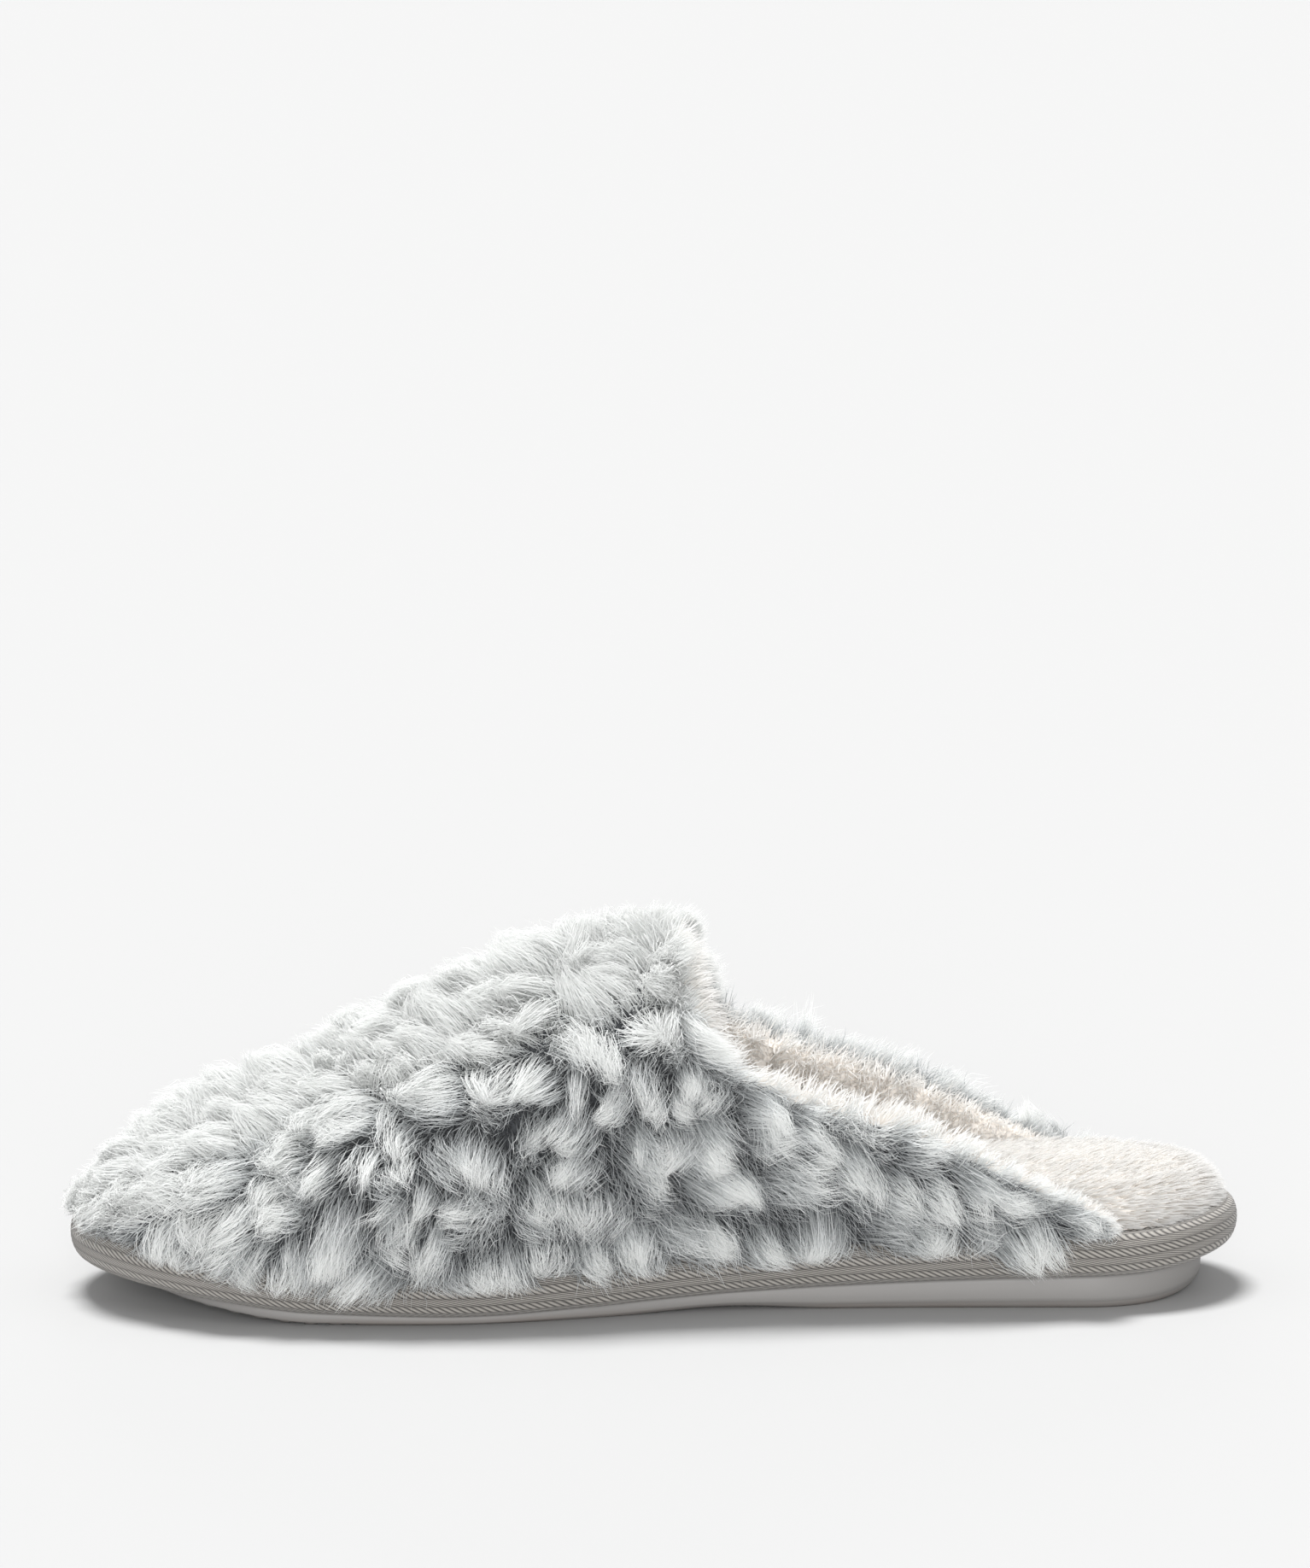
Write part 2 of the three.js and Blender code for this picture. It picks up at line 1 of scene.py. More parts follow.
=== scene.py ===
# %% [markdown]
# A fluffy scuff slipper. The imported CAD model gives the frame: a moulded sole, a
# platform bound with woven tape, a cushioned insole and a hollow upper. This lesson
# dresses that frame. Nearly everything that shows on the real slipper is pile, so
# most cells lay out short fibres as thin tapered ribbons of mesh.

# %% Load the frame
import math

import bpy
import numpy as np
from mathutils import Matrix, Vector


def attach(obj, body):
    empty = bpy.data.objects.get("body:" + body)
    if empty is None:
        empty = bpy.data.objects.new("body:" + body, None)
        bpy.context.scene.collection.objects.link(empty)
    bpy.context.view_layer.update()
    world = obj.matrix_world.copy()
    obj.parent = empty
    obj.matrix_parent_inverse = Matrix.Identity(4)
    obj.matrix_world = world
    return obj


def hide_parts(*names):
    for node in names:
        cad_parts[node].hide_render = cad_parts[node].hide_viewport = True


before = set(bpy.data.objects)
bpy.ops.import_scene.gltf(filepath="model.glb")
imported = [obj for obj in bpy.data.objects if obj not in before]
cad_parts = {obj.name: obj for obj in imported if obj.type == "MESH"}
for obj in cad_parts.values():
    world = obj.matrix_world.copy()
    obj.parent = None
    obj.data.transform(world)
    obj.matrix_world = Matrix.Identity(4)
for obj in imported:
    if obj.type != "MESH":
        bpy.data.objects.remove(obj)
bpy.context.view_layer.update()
print("frame nodes:", sorted(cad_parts))

# %% [markdown]
# A shoe is drawn round a last, a block in the shape of the foot. The plan gives half
# the width at a few places from the heel, at 0, to the toe, at 1. The profile gives the
# height over the floor of the platform's underside and of the tread. These sizes and
# the later ones are what the CAD model is built from, in millimetres, so that each
# fibre can be rooted on the fabric that the solid stands for.

# %% Plan and profile of the platform
MM = 0.001
LENGTH = 260.0
BALL_WIDTH = 98.0
WAIST_WIDTH = 75.0
HEEL_WIDTH = 66.0
HEEL_ROUND = 35.0
TOE_ROUND = 56.0
TOE_FULLNESS = 2.15
HEEL_SEAT = 45.0

HEEL_LIFT = 8.0
BALL_LIFT = 2.6
TOE_SPRING = 9.0
ARCH_LIFT = 1.0
HEEL_BEVEL = 2.2
TOE_CLEAR = 7.2
BINDING_HEIGHT = 9.0
CLEARANCE = 0.3

PLAN = {
    "at": [0, 0.17, 0.42, 0.68, 0.85, 1],
    "half": [HEEL_WIDTH / 2, HEEL_WIDTH / 2, WAIST_WIDTH / 2, BALL_WIDTH / 2,
             0.47 * BALL_WIDTH, 0.41 * BALL_WIDTH],
    "centre": [0, 0, 0.024, 0, -0.022, -0.06],
}
PROFILE = {
    "at": [0, 0.09, 0.22, 0.34, 0.44, 0.54, 0.66, 0.78, 0.88, 1],
    "under": [1.35 * HEEL_LIFT, 1.04 * HEEL_LIFT, 0.93 * HEEL_LIFT, 0.78 * HEEL_LIFT,
              0.62 * HEEL_LIFT, 1.4 * BALL_LIFT, BALL_LIFT, 1.3 * BALL_LIFT,
              0.64 * TOE_SPRING, TOE_SPRING],
    "tread": [HEEL_BEVEL, 0, 0, 0, ARCH_LIFT, 0, 0, 0, 0.39 * TOE_CLEAR, TOE_CLEAR],
}
print("platform:", LENGTH, "mm long,", BALL_WIDTH, "mm wide at the ball")

# %% [markdown]
# A table holds a few rows, and the shoe needs a smooth value between them. This is a
# cubic through the rows whose slopes are kept small enough that it never overshoots.

# %% Smooth values from the tables


def read(table, column, at):
    places = np.asarray(table["at"], float)
    values = np.asarray(table[column], float)
    slope = np.diff(values) / np.diff(places)
    tangent = np.zeros(len(places))
    tangent[0], tangent[-1] = slope[0], slope[-1]
    same = slope[:-1] * slope[1:] > 0
    total = np.where(same, slope[:-1] + slope[1:], 1)
    tangent[1:-1] = np.where(same, 2 * slope[:-1] * slope[1:] / total, 0)
    at = np.clip(np.asarray(at, float), places[0], places[-1])
    k = np.clip(np.searchsorted(places, at) - 1, 0, len(places) - 2)
    span = places[k + 1] - places[k]
    t = (at - places[k]) / span
    return (
        (2 * t**3 - 3 * t**2 + 1) * values[k]
        + (t**3 - 2 * t**2 + t) * span * tangent[k]
        + (3 * t**2 - 2 * t**3) * values[k + 1]
        + (t**3 - t**2) * span * tangent[k + 1]
    )


def share_at(x):
    return (HEEL_SEAT - x) / LENGTH


def place_at(at):
    return HEEL_SEAT - at * LENGTH


def under(x):
    return read(PROFILE, "under", share_at(x))


def tread(x):
    return read(PROFILE, "tread", share_at(x))


def foot_height(x):
    return under(x) + BINDING_HEIGHT + CLEARANCE


def fade(value, start, end):
    """0 up to start, 1 from end on, and even between; end may lie below start."""
    return np.clip((value - start) / (end - start), 0, 1)


def end_round(distance, stretch, fullness):
    """Rises from 0 to 1 over a stretch, as the rounded end of a shoe does."""
    return (1 - (1 - fade(distance, 0, stretch)) ** fullness) ** (1 / fullness)


print("underside at the heel:", round(float(under(HEEL_SEAT)), 1), "mm over the floor")

# %% [markdown]
# The outline is one ring of points that starts at the heel, runs along the big-toe
# side to the toe and comes back along the other side. Moving it inwards gives every
# ring that the sole, the tape and the cushion need.

# %% The outline as rings
AROUND = 720

ring_turn = 2 * np.pi * np.arange(AROUND) / AROUND
ring_at = (1 - np.cos(ring_turn)) / 2
ring_half = (
    read(PLAN, "half", ring_at)
    * end_round(ring_at * LENGTH, HEEL_ROUND, 2)
    * end_round((1 - ring_at) * LENGTH, TOE_ROUND, TOE_FULLNESS)
)
outline = np.stack(
    [
        place_at(ring_at),
        read(PLAN, "centre", ring_at) * BALL_WIDTH - np.sign(np.sin(ring_turn)) * ring_half,
    ],
    axis=1,
)
ring_along = np.roll(outline, -1, axis=0) - np.roll(outline, 1, axis=0)
ring_along /= np.linalg.norm(ring_along, axis=1, keepdims=True)
inward = np.stack([ring_along[:, 1], -ring_along[:, 0]], axis=1)
if inward[0, 0] > 0:
    inward = -inward


def edge(where, inset):
    """The outline moved inwards, at any place counted in ring points."""
    ring = outline + inward * np.reshape(inset, (-1, 1))
    where = np.asarray(where, float) % AROUND
    low = np.floor(where).astype(int)
    part = (where - low)[..., None]
    return ring[low % AROUND] * (1 - part) + ring[(low + 1) % AROUND] * part


def ring_place(at):
    """Place in ring points, on the big-toe side, at a share of the length."""
    return np.arccos(1 - 2 * np.clip(at, 0, 1)) / (2 * np.pi) * AROUND


def gone_along(points):
    """Distance gone along a line of points, from its first point."""
    return np.concatenate([[0], np.cumsum(np.linalg.norm(np.diff(points, axis=0), axis=1))])


ring_gone = gone_along(np.concatenate([outline, outline[:1]]))
perimeter = ring_gone[-1]
print("round the platform:", round(perimeter), "mm")

# %% [markdown]
# Over the foot the last is a row of arches. Each arch springs from the two sides of
# the outline and rises to the crest, which lies a little towards the big toe. An
# angle of 0 is the foot of the arch on the big-toe side and 180 degrees the other. The
# topline is where the upper is cut, as a share of the instep's height.

# %% Crest and topline
INSTEP_RISE = 64.0
ANKLE_RISE = 76.0
TOE_BOX = 30.0
TOE_BOX_FULLNESS = 1.5
TOE_RISE = 18.5
SECTION_FULLNESS = 2.12
RIDGE_SHIFT = 4.0
FOOT_INSET = 0.8

CREST = {
    "at": [0, 0.3, 0.48, 0.6, 0.72, 0.84, 0.93, 1],
    "rise": [ANKLE_RISE, 0.97 * ANKLE_RISE, INSTEP_RISE, 0.91 * INSTEP_RISE,
             0.69 * INSTEP_RISE, 0.42 * INSTEP_RISE, 1.02 * TOE_RISE, 0.92 * TOE_RISE],
}
TOPLINE = {
    "at": [0.106, 0.118, 0.185, 0.258, 0.335, 0.388, 0.431, 0.456, 0.473, 0.484, 0.49],
    "over": [-0.08, 0.04, 0.17, 0.32, 0.435, 0.51, 0.59, 0.69, 0.85, 1, 1.2],
}
WING_END = float(np.interp(0, TOPLINE["over"][:2], TOPLINE["at"][:2]))
THROAT = TOPLINE["at"][-1]
print("opening: from", round(WING_END, 3), "to", THROAT, "of the length")

# %% The last as a surface
ANGLE_STEP = 0.02
SHARE_STEP = 0.004
TOE_TIP = 0.9995


def last(at, angle):
    at, angle = np.broadcast_arrays(np.asarray(at, float), np.asarray(angle, float))
    where = ring_place(at)
    a = edge(where, FOOT_INSET)
    b = edge(AROUND - where, FOOT_INSET)
    to_tip = (1 - at) * LENGTH - FOOT_INSET
    box = end_round(to_tip, TOE_BOX, TOE_BOX_FULLNESS)
    power = 2 / SECTION_FULLNESS
    up = np.clip(np.sin(angle), 0, 1) ** power
    out = np.sign(np.cos(angle)) * np.abs(np.cos(angle)) ** power
    plan = a + (b - a) * ((1 - out) / 2)[..., None]
    y = plan[..., 1] - box * RIDGE_SHIFT * up
    z = foot_height(plan[..., 0]) + box * read(CREST, "rise", at) * up
    return np.stack([plan[..., 0], y, z], axis=-1)


def unit(v):
    return v / np.maximum(np.linalg.norm(v, axis=-1, keepdims=True), 1e-9)


def last_frame(at, angle):
    """Point, outward normal and downhill direction of the last."""
    across = last(at, np.minimum(angle + ANGLE_STEP, np.pi))
    across -= last(at, np.maximum(angle - ANGLE_STEP, 0))
    along = last(np.minimum(at + SHARE_STEP, TOE_TIP), angle) - last(at - SHARE_STEP, angle)
    normal = unit(np.cross(across, along))
    downhill = unit(across) * np.where(angle > np.pi / 2, 1, -1)[..., None]
    return last(at, angle), normal, downhill


def top_angle(at):
    """Angle at which the big-toe side of an arch meets the topline."""
    at = np.asarray(at, float)
    rise = read(CREST, "rise", at) * end_round((1 - at) * LENGTH, TOE_BOX, TOE_BOX_FULLNESS)
    up = np.clip(read(TOPLINE, "over", at) * INSTEP_RISE / rise, 0, 1)
    wing = np.arcsin(up ** (SECTION_FULLNESS / 2))
    return np.where(at < THROAT, wing, np.pi / 2)


print("throat:", round(float(last(THROAT, np.pi / 2)[2])), "mm over the floor")

# %% [markdown]
# Blender builds a mesh fastest from plain arrays. One helper makes an object from
# corners and faces, smooths it, gives it its material and lets it ride on the frame.
# A value stored at each corner, such as a fibre's tone, is read by the material.

# %% Mesh helpers


def fill_mesh(mesh, points, faces):
    """Corners in metres and smooth faces, as index arrays with one row for each face."""
    mesh.vertices.add(len(points))
    mesh.vertices.foreach_set("co", points.astype(np.float32).ravel())
    faces = [np.asarray(f, np.int32) for f in faces]
    sizes = np.concatenate([np.full(len(f), f.shape[1], np.int32) for f in faces])
    corners = np.concatenate([f.ravel() for f in faces])
    starts = np.concatenate([[0], np.cumsum(sizes)[:-1]]).astype(np.int32)
    mesh.loops.add(len(corners))
    mesh.loops.foreach_set("vertex_index", corners)
    mesh.polygons.add(len(sizes))
    mesh.polygons.foreach_set("loop_start", starts)
    mesh.polygons.foreach_set("use_smooth", np.ones(len(sizes), bool))
    mesh.update(calc_edges=True)
    print(f"{mesh.name}: {(sizes - 2).sum()} triangles")


def store(mesh, key, values):
    """A number or a vector for each corner, under a name that a material can read."""
    kind, target = ("FLOAT_VECTOR", "vector") if values.ndim == 2 else ("FLOAT", "value")
    field = mesh.attributes.new(key, kind, "POINT")
    field.data.foreach_set(target, values.astype(np.float32).ravel())


def add_mesh(name, points, faces, material, attributes=None):
    """A piece of the slipper from points in millimetres."""
    mesh = bpy.data.meshes.new(name)
    fill_mesh(mesh, np.asarray(points, float).reshape(-1, 3) * MM, faces)
    for key, values in (attributes or {}).items():
        store(mesh, key, values)
    mesh.materials.append(material)
    piece = bpy.data.objects.new(name, mesh)
    bpy.context.scene.collection.objects.link(piece)
    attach(piece, "root")
    return piece


def grid_faces(rows, columns, first=0):
    """Quads of a grid of points that are laid out row by row."""
    i, j = np.meshgrid(np.arange(rows - 1), np.arange(columns - 1), indexing="ij")
    a = first + i * columns + j
    return np.stack([a, a + columns, a + columns + 1, a + 1], axis=-1).reshape(-1, 4)


def ring_faces(rings, around):
    """Quads between closed rings of points, with the index of each point."""
    index = np.arange(rings * around).reshape(rings, around)
    closed = np.concatenate([index, index[:, :1]], axis=1)
    quads = np.stack([closed[:-1, :-1], closed[1:, :-1], closed[1:, 1:], closed[:-1, 1:]], axis=-1)
    return index, quads.reshape(-1, 4)


# %% [markdown]
# A material is a small graph of nodes. Its colours are sRGB hex codes, as a painter
# picks them, and one function turns them to the linear light that shaders work in.
# Values that are the same all over are set on the main shader's own sockets.

# %% Material helpers


def hex_colour(code):
    """An sRGB hex code as linear light."""
    parts = [int(code[i : i + 2], 16) / 255 for i in (1, 3, 5)]
    linear = [c / 12.92 if c <= 0.04045 else ((c + 0.055) / 1.055) ** 2.4 for c in parts]
    return (*linear, 1.0)


def new_material(name, finish):
    """A material with its node tree and its main shader, whose sockets finish sets."""
    material = bpy.data.materials.new(name)
    material.use_nodes = True
    shader = material.node_tree.nodes["Principled BSDF"]
    for key, value in finish.items():
        shader.inputs[key].default_value = value
    return material, material.node_tree, shader


def add_node(tree, kind, settings=None, links=None):
    """Adds a node; settings are its properties or socket values, links feed its inputs."""
    node = tree.nodes.new(kind)
    for key, value in (settings or {}).items():
        if isinstance(key, str) and hasattr(node, key):
            setattr(node, key, value)
        else:
            node.inputs[key].default_value = value
    for key, source in (links or {}).items():
        tree.links.new(source, node.inputs[key])
    return node


def set_ramp(node, stops):
    """Colour stops as a list of (place, hex code)."""
    ramp = node.color_ramp
    while len(ramp.elements) < len(stops):
        ramp.elements.new(1.0)
    for element, (place, code) in zip(ramp.elements, stops):
        element.position = place
        element.color = hex_colour(code)


print("mid grey as linear light:", round(hex_colour("#808080")[0], 3))

# %% [markdown]
# Polyester pile fibre is dyed in the yarn: near black at the root, mid grey further up
# and bleached white for the last third. A long fibre therefore shows white and a gap
# between two tufts shows the roots. Each fibre carries its own place along the yarn
# and a small tone of its own, and one colour ramp turns that into the dye. Thin fibres
# let light through, which keeps the white ones bright deep inside the pile.

# %% Pile fibre material


def pile_material(name, stops, roughness, sheen):
    material, tree, shader = new_material(name, {
        "Roughness": roughness, "IOR": 1.5, "Specular IOR Level": 0.3,
        "Sheen Weight": sheen, "Sheen Roughness": 0.5,
    })
    along = add_node(tree, "ShaderNodeAttribute", {"attribute_name": "along"})
    tone = add_node(tree, "ShaderNodeAttribute", {"attribute_name": "tone"})
    dye = add_node(tree, "ShaderNodeValToRGB", links={0: along.outputs["Fac"]})
    set_ramp(dye, stops)
    add_tone = add_node(
        tree, "ShaderNodeMix", {"data_type": "RGBA", "blend_type": "MULTIPLY", 0: 1.0},
        {6: dye.outputs["Color"], 7: tone.outputs["Color"]},
    )
    tree.links.new(add_tone.outputs[2], shader.inputs["Base Color"])
    through = add_node(tree, "ShaderNodeBsdfTranslucent", links={"Color": add_tone.outputs[2]})
    both = add_node(
        tree, "ShaderNodeMixShader", {0: 0.5}, {1: shader.outputs[0], 2: through.outputs[0]}
    )
    tree.links.new(both.outputs[0], tree.nodes["Material Output"].inputs["Surface"])
    return material


polyester_pile = pile_material(
    "dyed polyester pile",
    [(0.0, "#26282b"), (0.14, "#4d5053"), (0.3, "#acafb0"), (0.46, "#e4e6e6"), (0.6, "#f1f2f1")],
    roughness=0.62,
    sheen=0.2,
)
cream_plush = pile_material(
    "cream polyester plush",
    [(0.0, "#f3ede6"), (0.3, "#f6f3ef"), (0.6, "#f8f7f5"), (1.0, "#fbfbfa")],
    roughness=0.7,
    sheen=0.25,
)

print("pile materials:", polyester_pile.name, "and", cream_plush.name)

# %% [markdown]
# A fibre is a curved ribbon of two short strips and a point, five triangles in all.
# Hair curves or cylinders would cost ten times as many and look the same at this size.
# A real fibre is a few hundredths of a millimetre thick. These are several times as
# thick, so that the number that a mesh can hold still covers the fabric. The ribbon's
# flat side is turned mostly outwards so that the light finds it, with a random twist.

# %% Fibres as ribbons
rng = np.random.default_rng(20)
FIBRE_PLACES = np.array([0.0, 0.36, 0.7, 1.0])
FIBRE_STRIPS = len(FIBRE_PLACES) - 1
FIBRE_POINTS = 2 * FIBRE_STRIPS + 1
TWIST = 0.6
TIP_WIDTH = 0.5


def cubic(t, root, lift, bend, tip):
    """Points at the shares t of curves that start at root and end at tip."""
    root, lift, bend, tip = (c[:, None, :] for c in (root, lift, bend, tip))
    return (
        (1 - t) ** 3 * root
        + 3 * (1 - t) ** 2 * t * lift
        + 3 * (1 - t) * t**2 * bend
        + t**3 * tip
    )


def ribbon_faces(count):
    """The strips of each ribbon and the triangle at its tip."""
    first = (np.arange(count) * FIBRE_POINTS)[:, None]
    strip = np.array([[0, 1, 3, 2]])
    strips = [first + strip + 2 * n for n in range(FIBRE_STRIPS - 1)]
    return [np.concatenate(strips), first + 2 * (FIBRE_STRIPS - 1) + np.array([[0, 1, 2]])]


def fibres(name, roots, lift, bend, tips, facing, width, along, tone, material):
    """Ribbons along cubic curves; along holds the places in the dye at root and tip."""
    count = len(roots)
    t = FIBRE_PLACES[None, :, None]
    curve = cubic(t, roots, lift, bend, tips)
    heading = unit(np.gradient(curve, axis=1))
    side = unit(np.cross(heading, facing[:, None, :]))
    outward = np.cross(side, heading)
    twist = rng.normal(0, TWIST, (count, 1, 1))
    side = side * np.cos(twist) + outward * np.sin(twist)
    half = 0.5 * width[:, None, None] * (1 - (1 - TIP_WIDTH) * t)
    edges = np.stack([curve - side * half, curve + side * half], axis=2)[:, :FIBRE_STRIPS]
    pairs = edges.reshape(count, 2 * FIBRE_STRIPS, 3)
    points = np.concatenate([pairs, curve[:, FIBRE_STRIPS:]], axis=1)
    reach = np.append(np.repeat(FIBRE_PLACES[:FIBRE_STRIPS], 2), 1.0)
    dyed = along[0][:, None] + reach * (along[1] - along[0])[:, None]
    stored = {"along": dyed.ravel(), "tone": np.repeat(tone, FIBRE_POINTS)}
    return add_mesh(name, points, ribbon_faces(count), material, stored)


print("triangles in a fibre:", 2 * FIBRE_STRIPS - 1)

# %% [markdown]
# The ground of the pile is a knitted backing. It can be seen between the tufts as a
# dark cloth, and on the inside it carries the cream lining. It is laid as two grids,
# one for each side of the foot, that meet along the crest and stop at the topline. The
# cut edge is cream too, so that no dark line shows round the opening. The loops of
# such a knit are about 0.8 mm wide, and they show only as a faint relief.

# %% The grids of the upper
WALL = 4.0
WING_ROWS, VAMP_ROWS, BACKING_COLUMNS = 70, 60, 26
BACKING_ROWS = WING_ROWS + VAMP_ROWS

# rows start just inside the wing's tip, where the fabric has no height yet
row_at = np.concatenate([
    np.linspace(WING_END + 0.001, THROAT + 0.01, WING_ROWS),
    np.linspace(THROAT + 0.015, 0.9992, VAMP_ROWS),
])
column_share = np.linspace(0, 1, BACKING_COLUMNS)


def side_grid(side):
    """Shares and angles of one side's grid; side is -1 at the big toe, +1 across."""
    at = np.repeat(row_at[:, None], BACKING_COLUMNS, axis=1)
    angle = column_share[None, :] * top_angle(row_at)[:, None]
    if side > 0:
        angle = np.pi - angle
    return at, angle


print("rows on each side:", BACKING_ROWS)

# %% The backing of the upper


def backing():
    points, faces, inner_faces = [], [], []
    first = 0
    for side in (-1, 1):
        at, angle = side_grid(side)
        place, normal, _ = last_frame(at, angle)
        for depth in (0.0, WALL):
            points.append((place - normal * depth).reshape(-1, 3))
        sheet = grid_faces(BACKING_ROWS, BACKING_COLUMNS, first)
        lining = grid_faces(BACKING_ROWS, BACKING_COLUMNS, first + at.size)
        faces.append(sheet if side < 0 else sheet[:, ::-1])
        inner_faces.append(lining[:, ::-1] if side < 0 else lining)
        rim = first + np.arange(BACKING_ROWS) * BACKING_COLUMNS
        for border in (rim, rim + BACKING_COLUMNS - 1):
            inner_faces.append(
                np.stack([border[:-1], border[1:], border[1:] + at.size, border[:-1] + at.size], 1)
            )
        first += 2 * at.size
    return np.concatenate(points), faces, inner_faces


def cloth_material(name, code, scale_mm):
    """Knitted ground: one colour with the faint relief of its loops."""
    material, tree, shader = new_material(
        name, {"Base Color": hex_colour(code), "Roughness": 0.9}
    )
    place = add_node(tree, "ShaderNodeTexCoord")
    loops = add_node(
        tree, "ShaderNodeTexVoronoi", {"Scale": 1 / (scale_mm * MM)},
        {"Vector": place.outputs["Object"]},
    )
    relief = add_node(
        tree, "ShaderNodeBump", {"Strength": 0.5, "Distance": 0.2 * MM},
        {"Height": loops.outputs["Distance"]},
    )
    tree.links.new(relief.outputs["Normal"], shader.inputs["Normal"])
    return material


LOOP_MM = 0.8
dark_knit = cloth_material("dark knitted backing", "#3d3f42", LOOP_MM)
cream_knit = cloth_material("cream knitted lining ground", "#f5f0ea", LOOP_MM)

backing_points, backing_faces, lining_faces = backing()
backing_piece = add_mesh("pile_backing", backing_points, backing_faces, dark_knit)
add_mesh("lining_ground", backing_points, lining_faces, cream_knit)
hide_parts("upper")

# %% [markdown]
# The topline is the edge of the upper: it climbs from one heel wing to the throat and
# goes down to the other wing. Its points are needed with a direction that leads off
# the fabric, because the pile and the lining both fluff out over this edge.

# %% The topline as a path


def topline_path(count):
    """Places along the topline with their share of the length and their angle."""
    at = np.linspace(WING_END, THROAT - 0.006, 700)
    angle = top_angle(at)
    at = np.concatenate([at, at[::-1]])
    angle = np.concatenate([angle, np.pi - angle[::-1]])
    points = last(at, angle)
    gone = gone_along(points)
    even = np.linspace(0, gone[-1], count)
    return np.interp(even, gone, at), np.interp(even, gone, angle), gone[-1]


rim_at, rim_angle, rim_length = topline_path(900)
rim_place, rim_normal, _ = last_frame(rim_at, rim_angle)
rim_along = unit(np.gradient(rim_place, axis=0))
rim_off = unit(np.cross(rim_along, rim_normal))
print("topline:", round(rim_length), "mm")

# %% [markdown]
# The pile is woven in tufts. They stand in staggered rows one pitch apart, counted from
# the throat, just as the locks of the CAD model do. Each tuft has a root, a height and
# a nap: towards the toe on top, down the sides, and swept back along the heel wings.
# Wear has turned and tangled them, so size, place and direction all wander.

# %% Places of the tufts
TUFT_PITCH = 12.4
CREST_TUFT = {"stand": 10.5, "sweep": 4.6}
SIDE_TUFT = {"stand": 5.0, "sweep": 10.5}
NAP = {
    "at": [0.1, 0.35, 0.5, 0.62, 0.75, 0.88, 1],
    "toeward": [-0.95, -0.8, -0.55, -0.1, 0.35, 0.55, 0.5],
}
FLAT_TOE = {"at": [0, 0.6, 0.76, 0.88, 0.95, 1], "share": [1, 1, 1.05, 0.9, 0.55, 0.15]}


def tuft_rows():
    """Number of each row, counted from the throat, and its share of the length."""
    at = np.linspace(WING_END, 0.998, 800)
    gone = gone_along(last(at, np.pi / 2))
    to_throat = np.interp(THROAT, at, gone)
    first = -int(to_throat // TUFT_PITCH)
    final = int((gone[-1] - to_throat) / TUFT_PITCH - 0.4)
    for n in range(first, final + 1):
        yield n, float(np.interp(to_throat + (n + 0.4) * TUFT_PITCH, gone, at))


def tuft_places():
    places = []
    arch_angle = np.linspace(0, np.pi, 200)
    for n, at in tuft_rows():
        gone = gone_along(last(at, arch_angle))
        count = max(2, round(gone[-1] / (0.9 * TUFT_PITCH)))
        for m in range(count):
            share = (m + (0.25 if n % 2 else 0.75)) / count
            places.append((at, float(np.interp(share * gone[-1], gone, arch_angle))))
    return np.array(places)


tuft_at, tuft_angle = tuft_places().T
tuft_count = len(tuft_at)
print("tufts:", tuft_count)

# %% The nap
RIM_REACH = 1.1 * TUFT_PITCH
NEAR_RIM_COMB = 0.35


def nearest(points, centres, block=20000):
    found = [
        np.argmin(((points[i : i + block, None, :] - centres[None]) ** 2).sum(-1), axis=1)
        for i in range(0, len(points), block)
    ]
    return np.concatenate(found)


def edge_share(points):
    """1 at the topline, 0 from RIM_REACH away, with the nearest point of the path."""
    k = nearest(points, rim_place[::6]) * 6
    gap = np.linalg.norm(points - rim_place[k], axis=-1)
    return fade(gap, RIM_REACH, 0), k


def nap(at, place, normal, downhill, steep):
    """Direction in which the pile is combed, in the plane of the fabric."""
    toeward = np.zeros_like(normal)
    toeward[:, 0] = -1
    # the crest is combed along the shoe, and the sides down as well
    side = np.clip(1.8 * steep - 0.35, 0, 1)[:, None]
    lean = read(NAP, "toeward", at)[:, None]
    combed = toeward * (1 - side + lean * side) + downhill * (0.2 + 0.8 * side)
    share, k = edge_share(place)
    at_rim = np.where(rim_place[k, 1] > 0, 1.0, NEAR_RIM_COMB)
    outward = (np.maximum(at_rim, fade(steep, 0.5, 0)) * share)[:, None]
    combed = combed * (1 - outward) + rim_off[k] * 1.1 * outward
    combed -= normal * (combed * normal).sum(-1, keepdims=True)
    return unit(combed), outward[:, 0]


def pile_size(at, steep, outward):
    """How far a full fibre stands off the fabric and how far it reaches along the nap."""
    flat = read(FLAT_TOE, "share", at)
    stand = CREST_TUFT["stand"] + (SIDE_TUFT["stand"] - CREST_TUFT["stand"]) * steep
    sweep = CREST_TUFT["sweep"] + (SIDE_TUFT["sweep"] - CREST_TUFT["sweep"]) * steep
    # pile is shorter over the throat and at the tips of the wings
    throat = fade(steep, 0.5, 0) * outward
    wing_tip = np.clip((at - 0.09) / 0.08, 0.4, 1)
    sweep = sweep * (0.2 + 0.8 * np.minimum(flat, 1)) * wing_tip
    return stand * flat * (1 - 0.15 * outward - 0.3 * throat**3), sweep * (1 - 0.2 * outward)


print("a tuft stands", CREST_TUFT["stand"], "mm at the crest,", SIDE_TUFT["stand"], "at the sides")

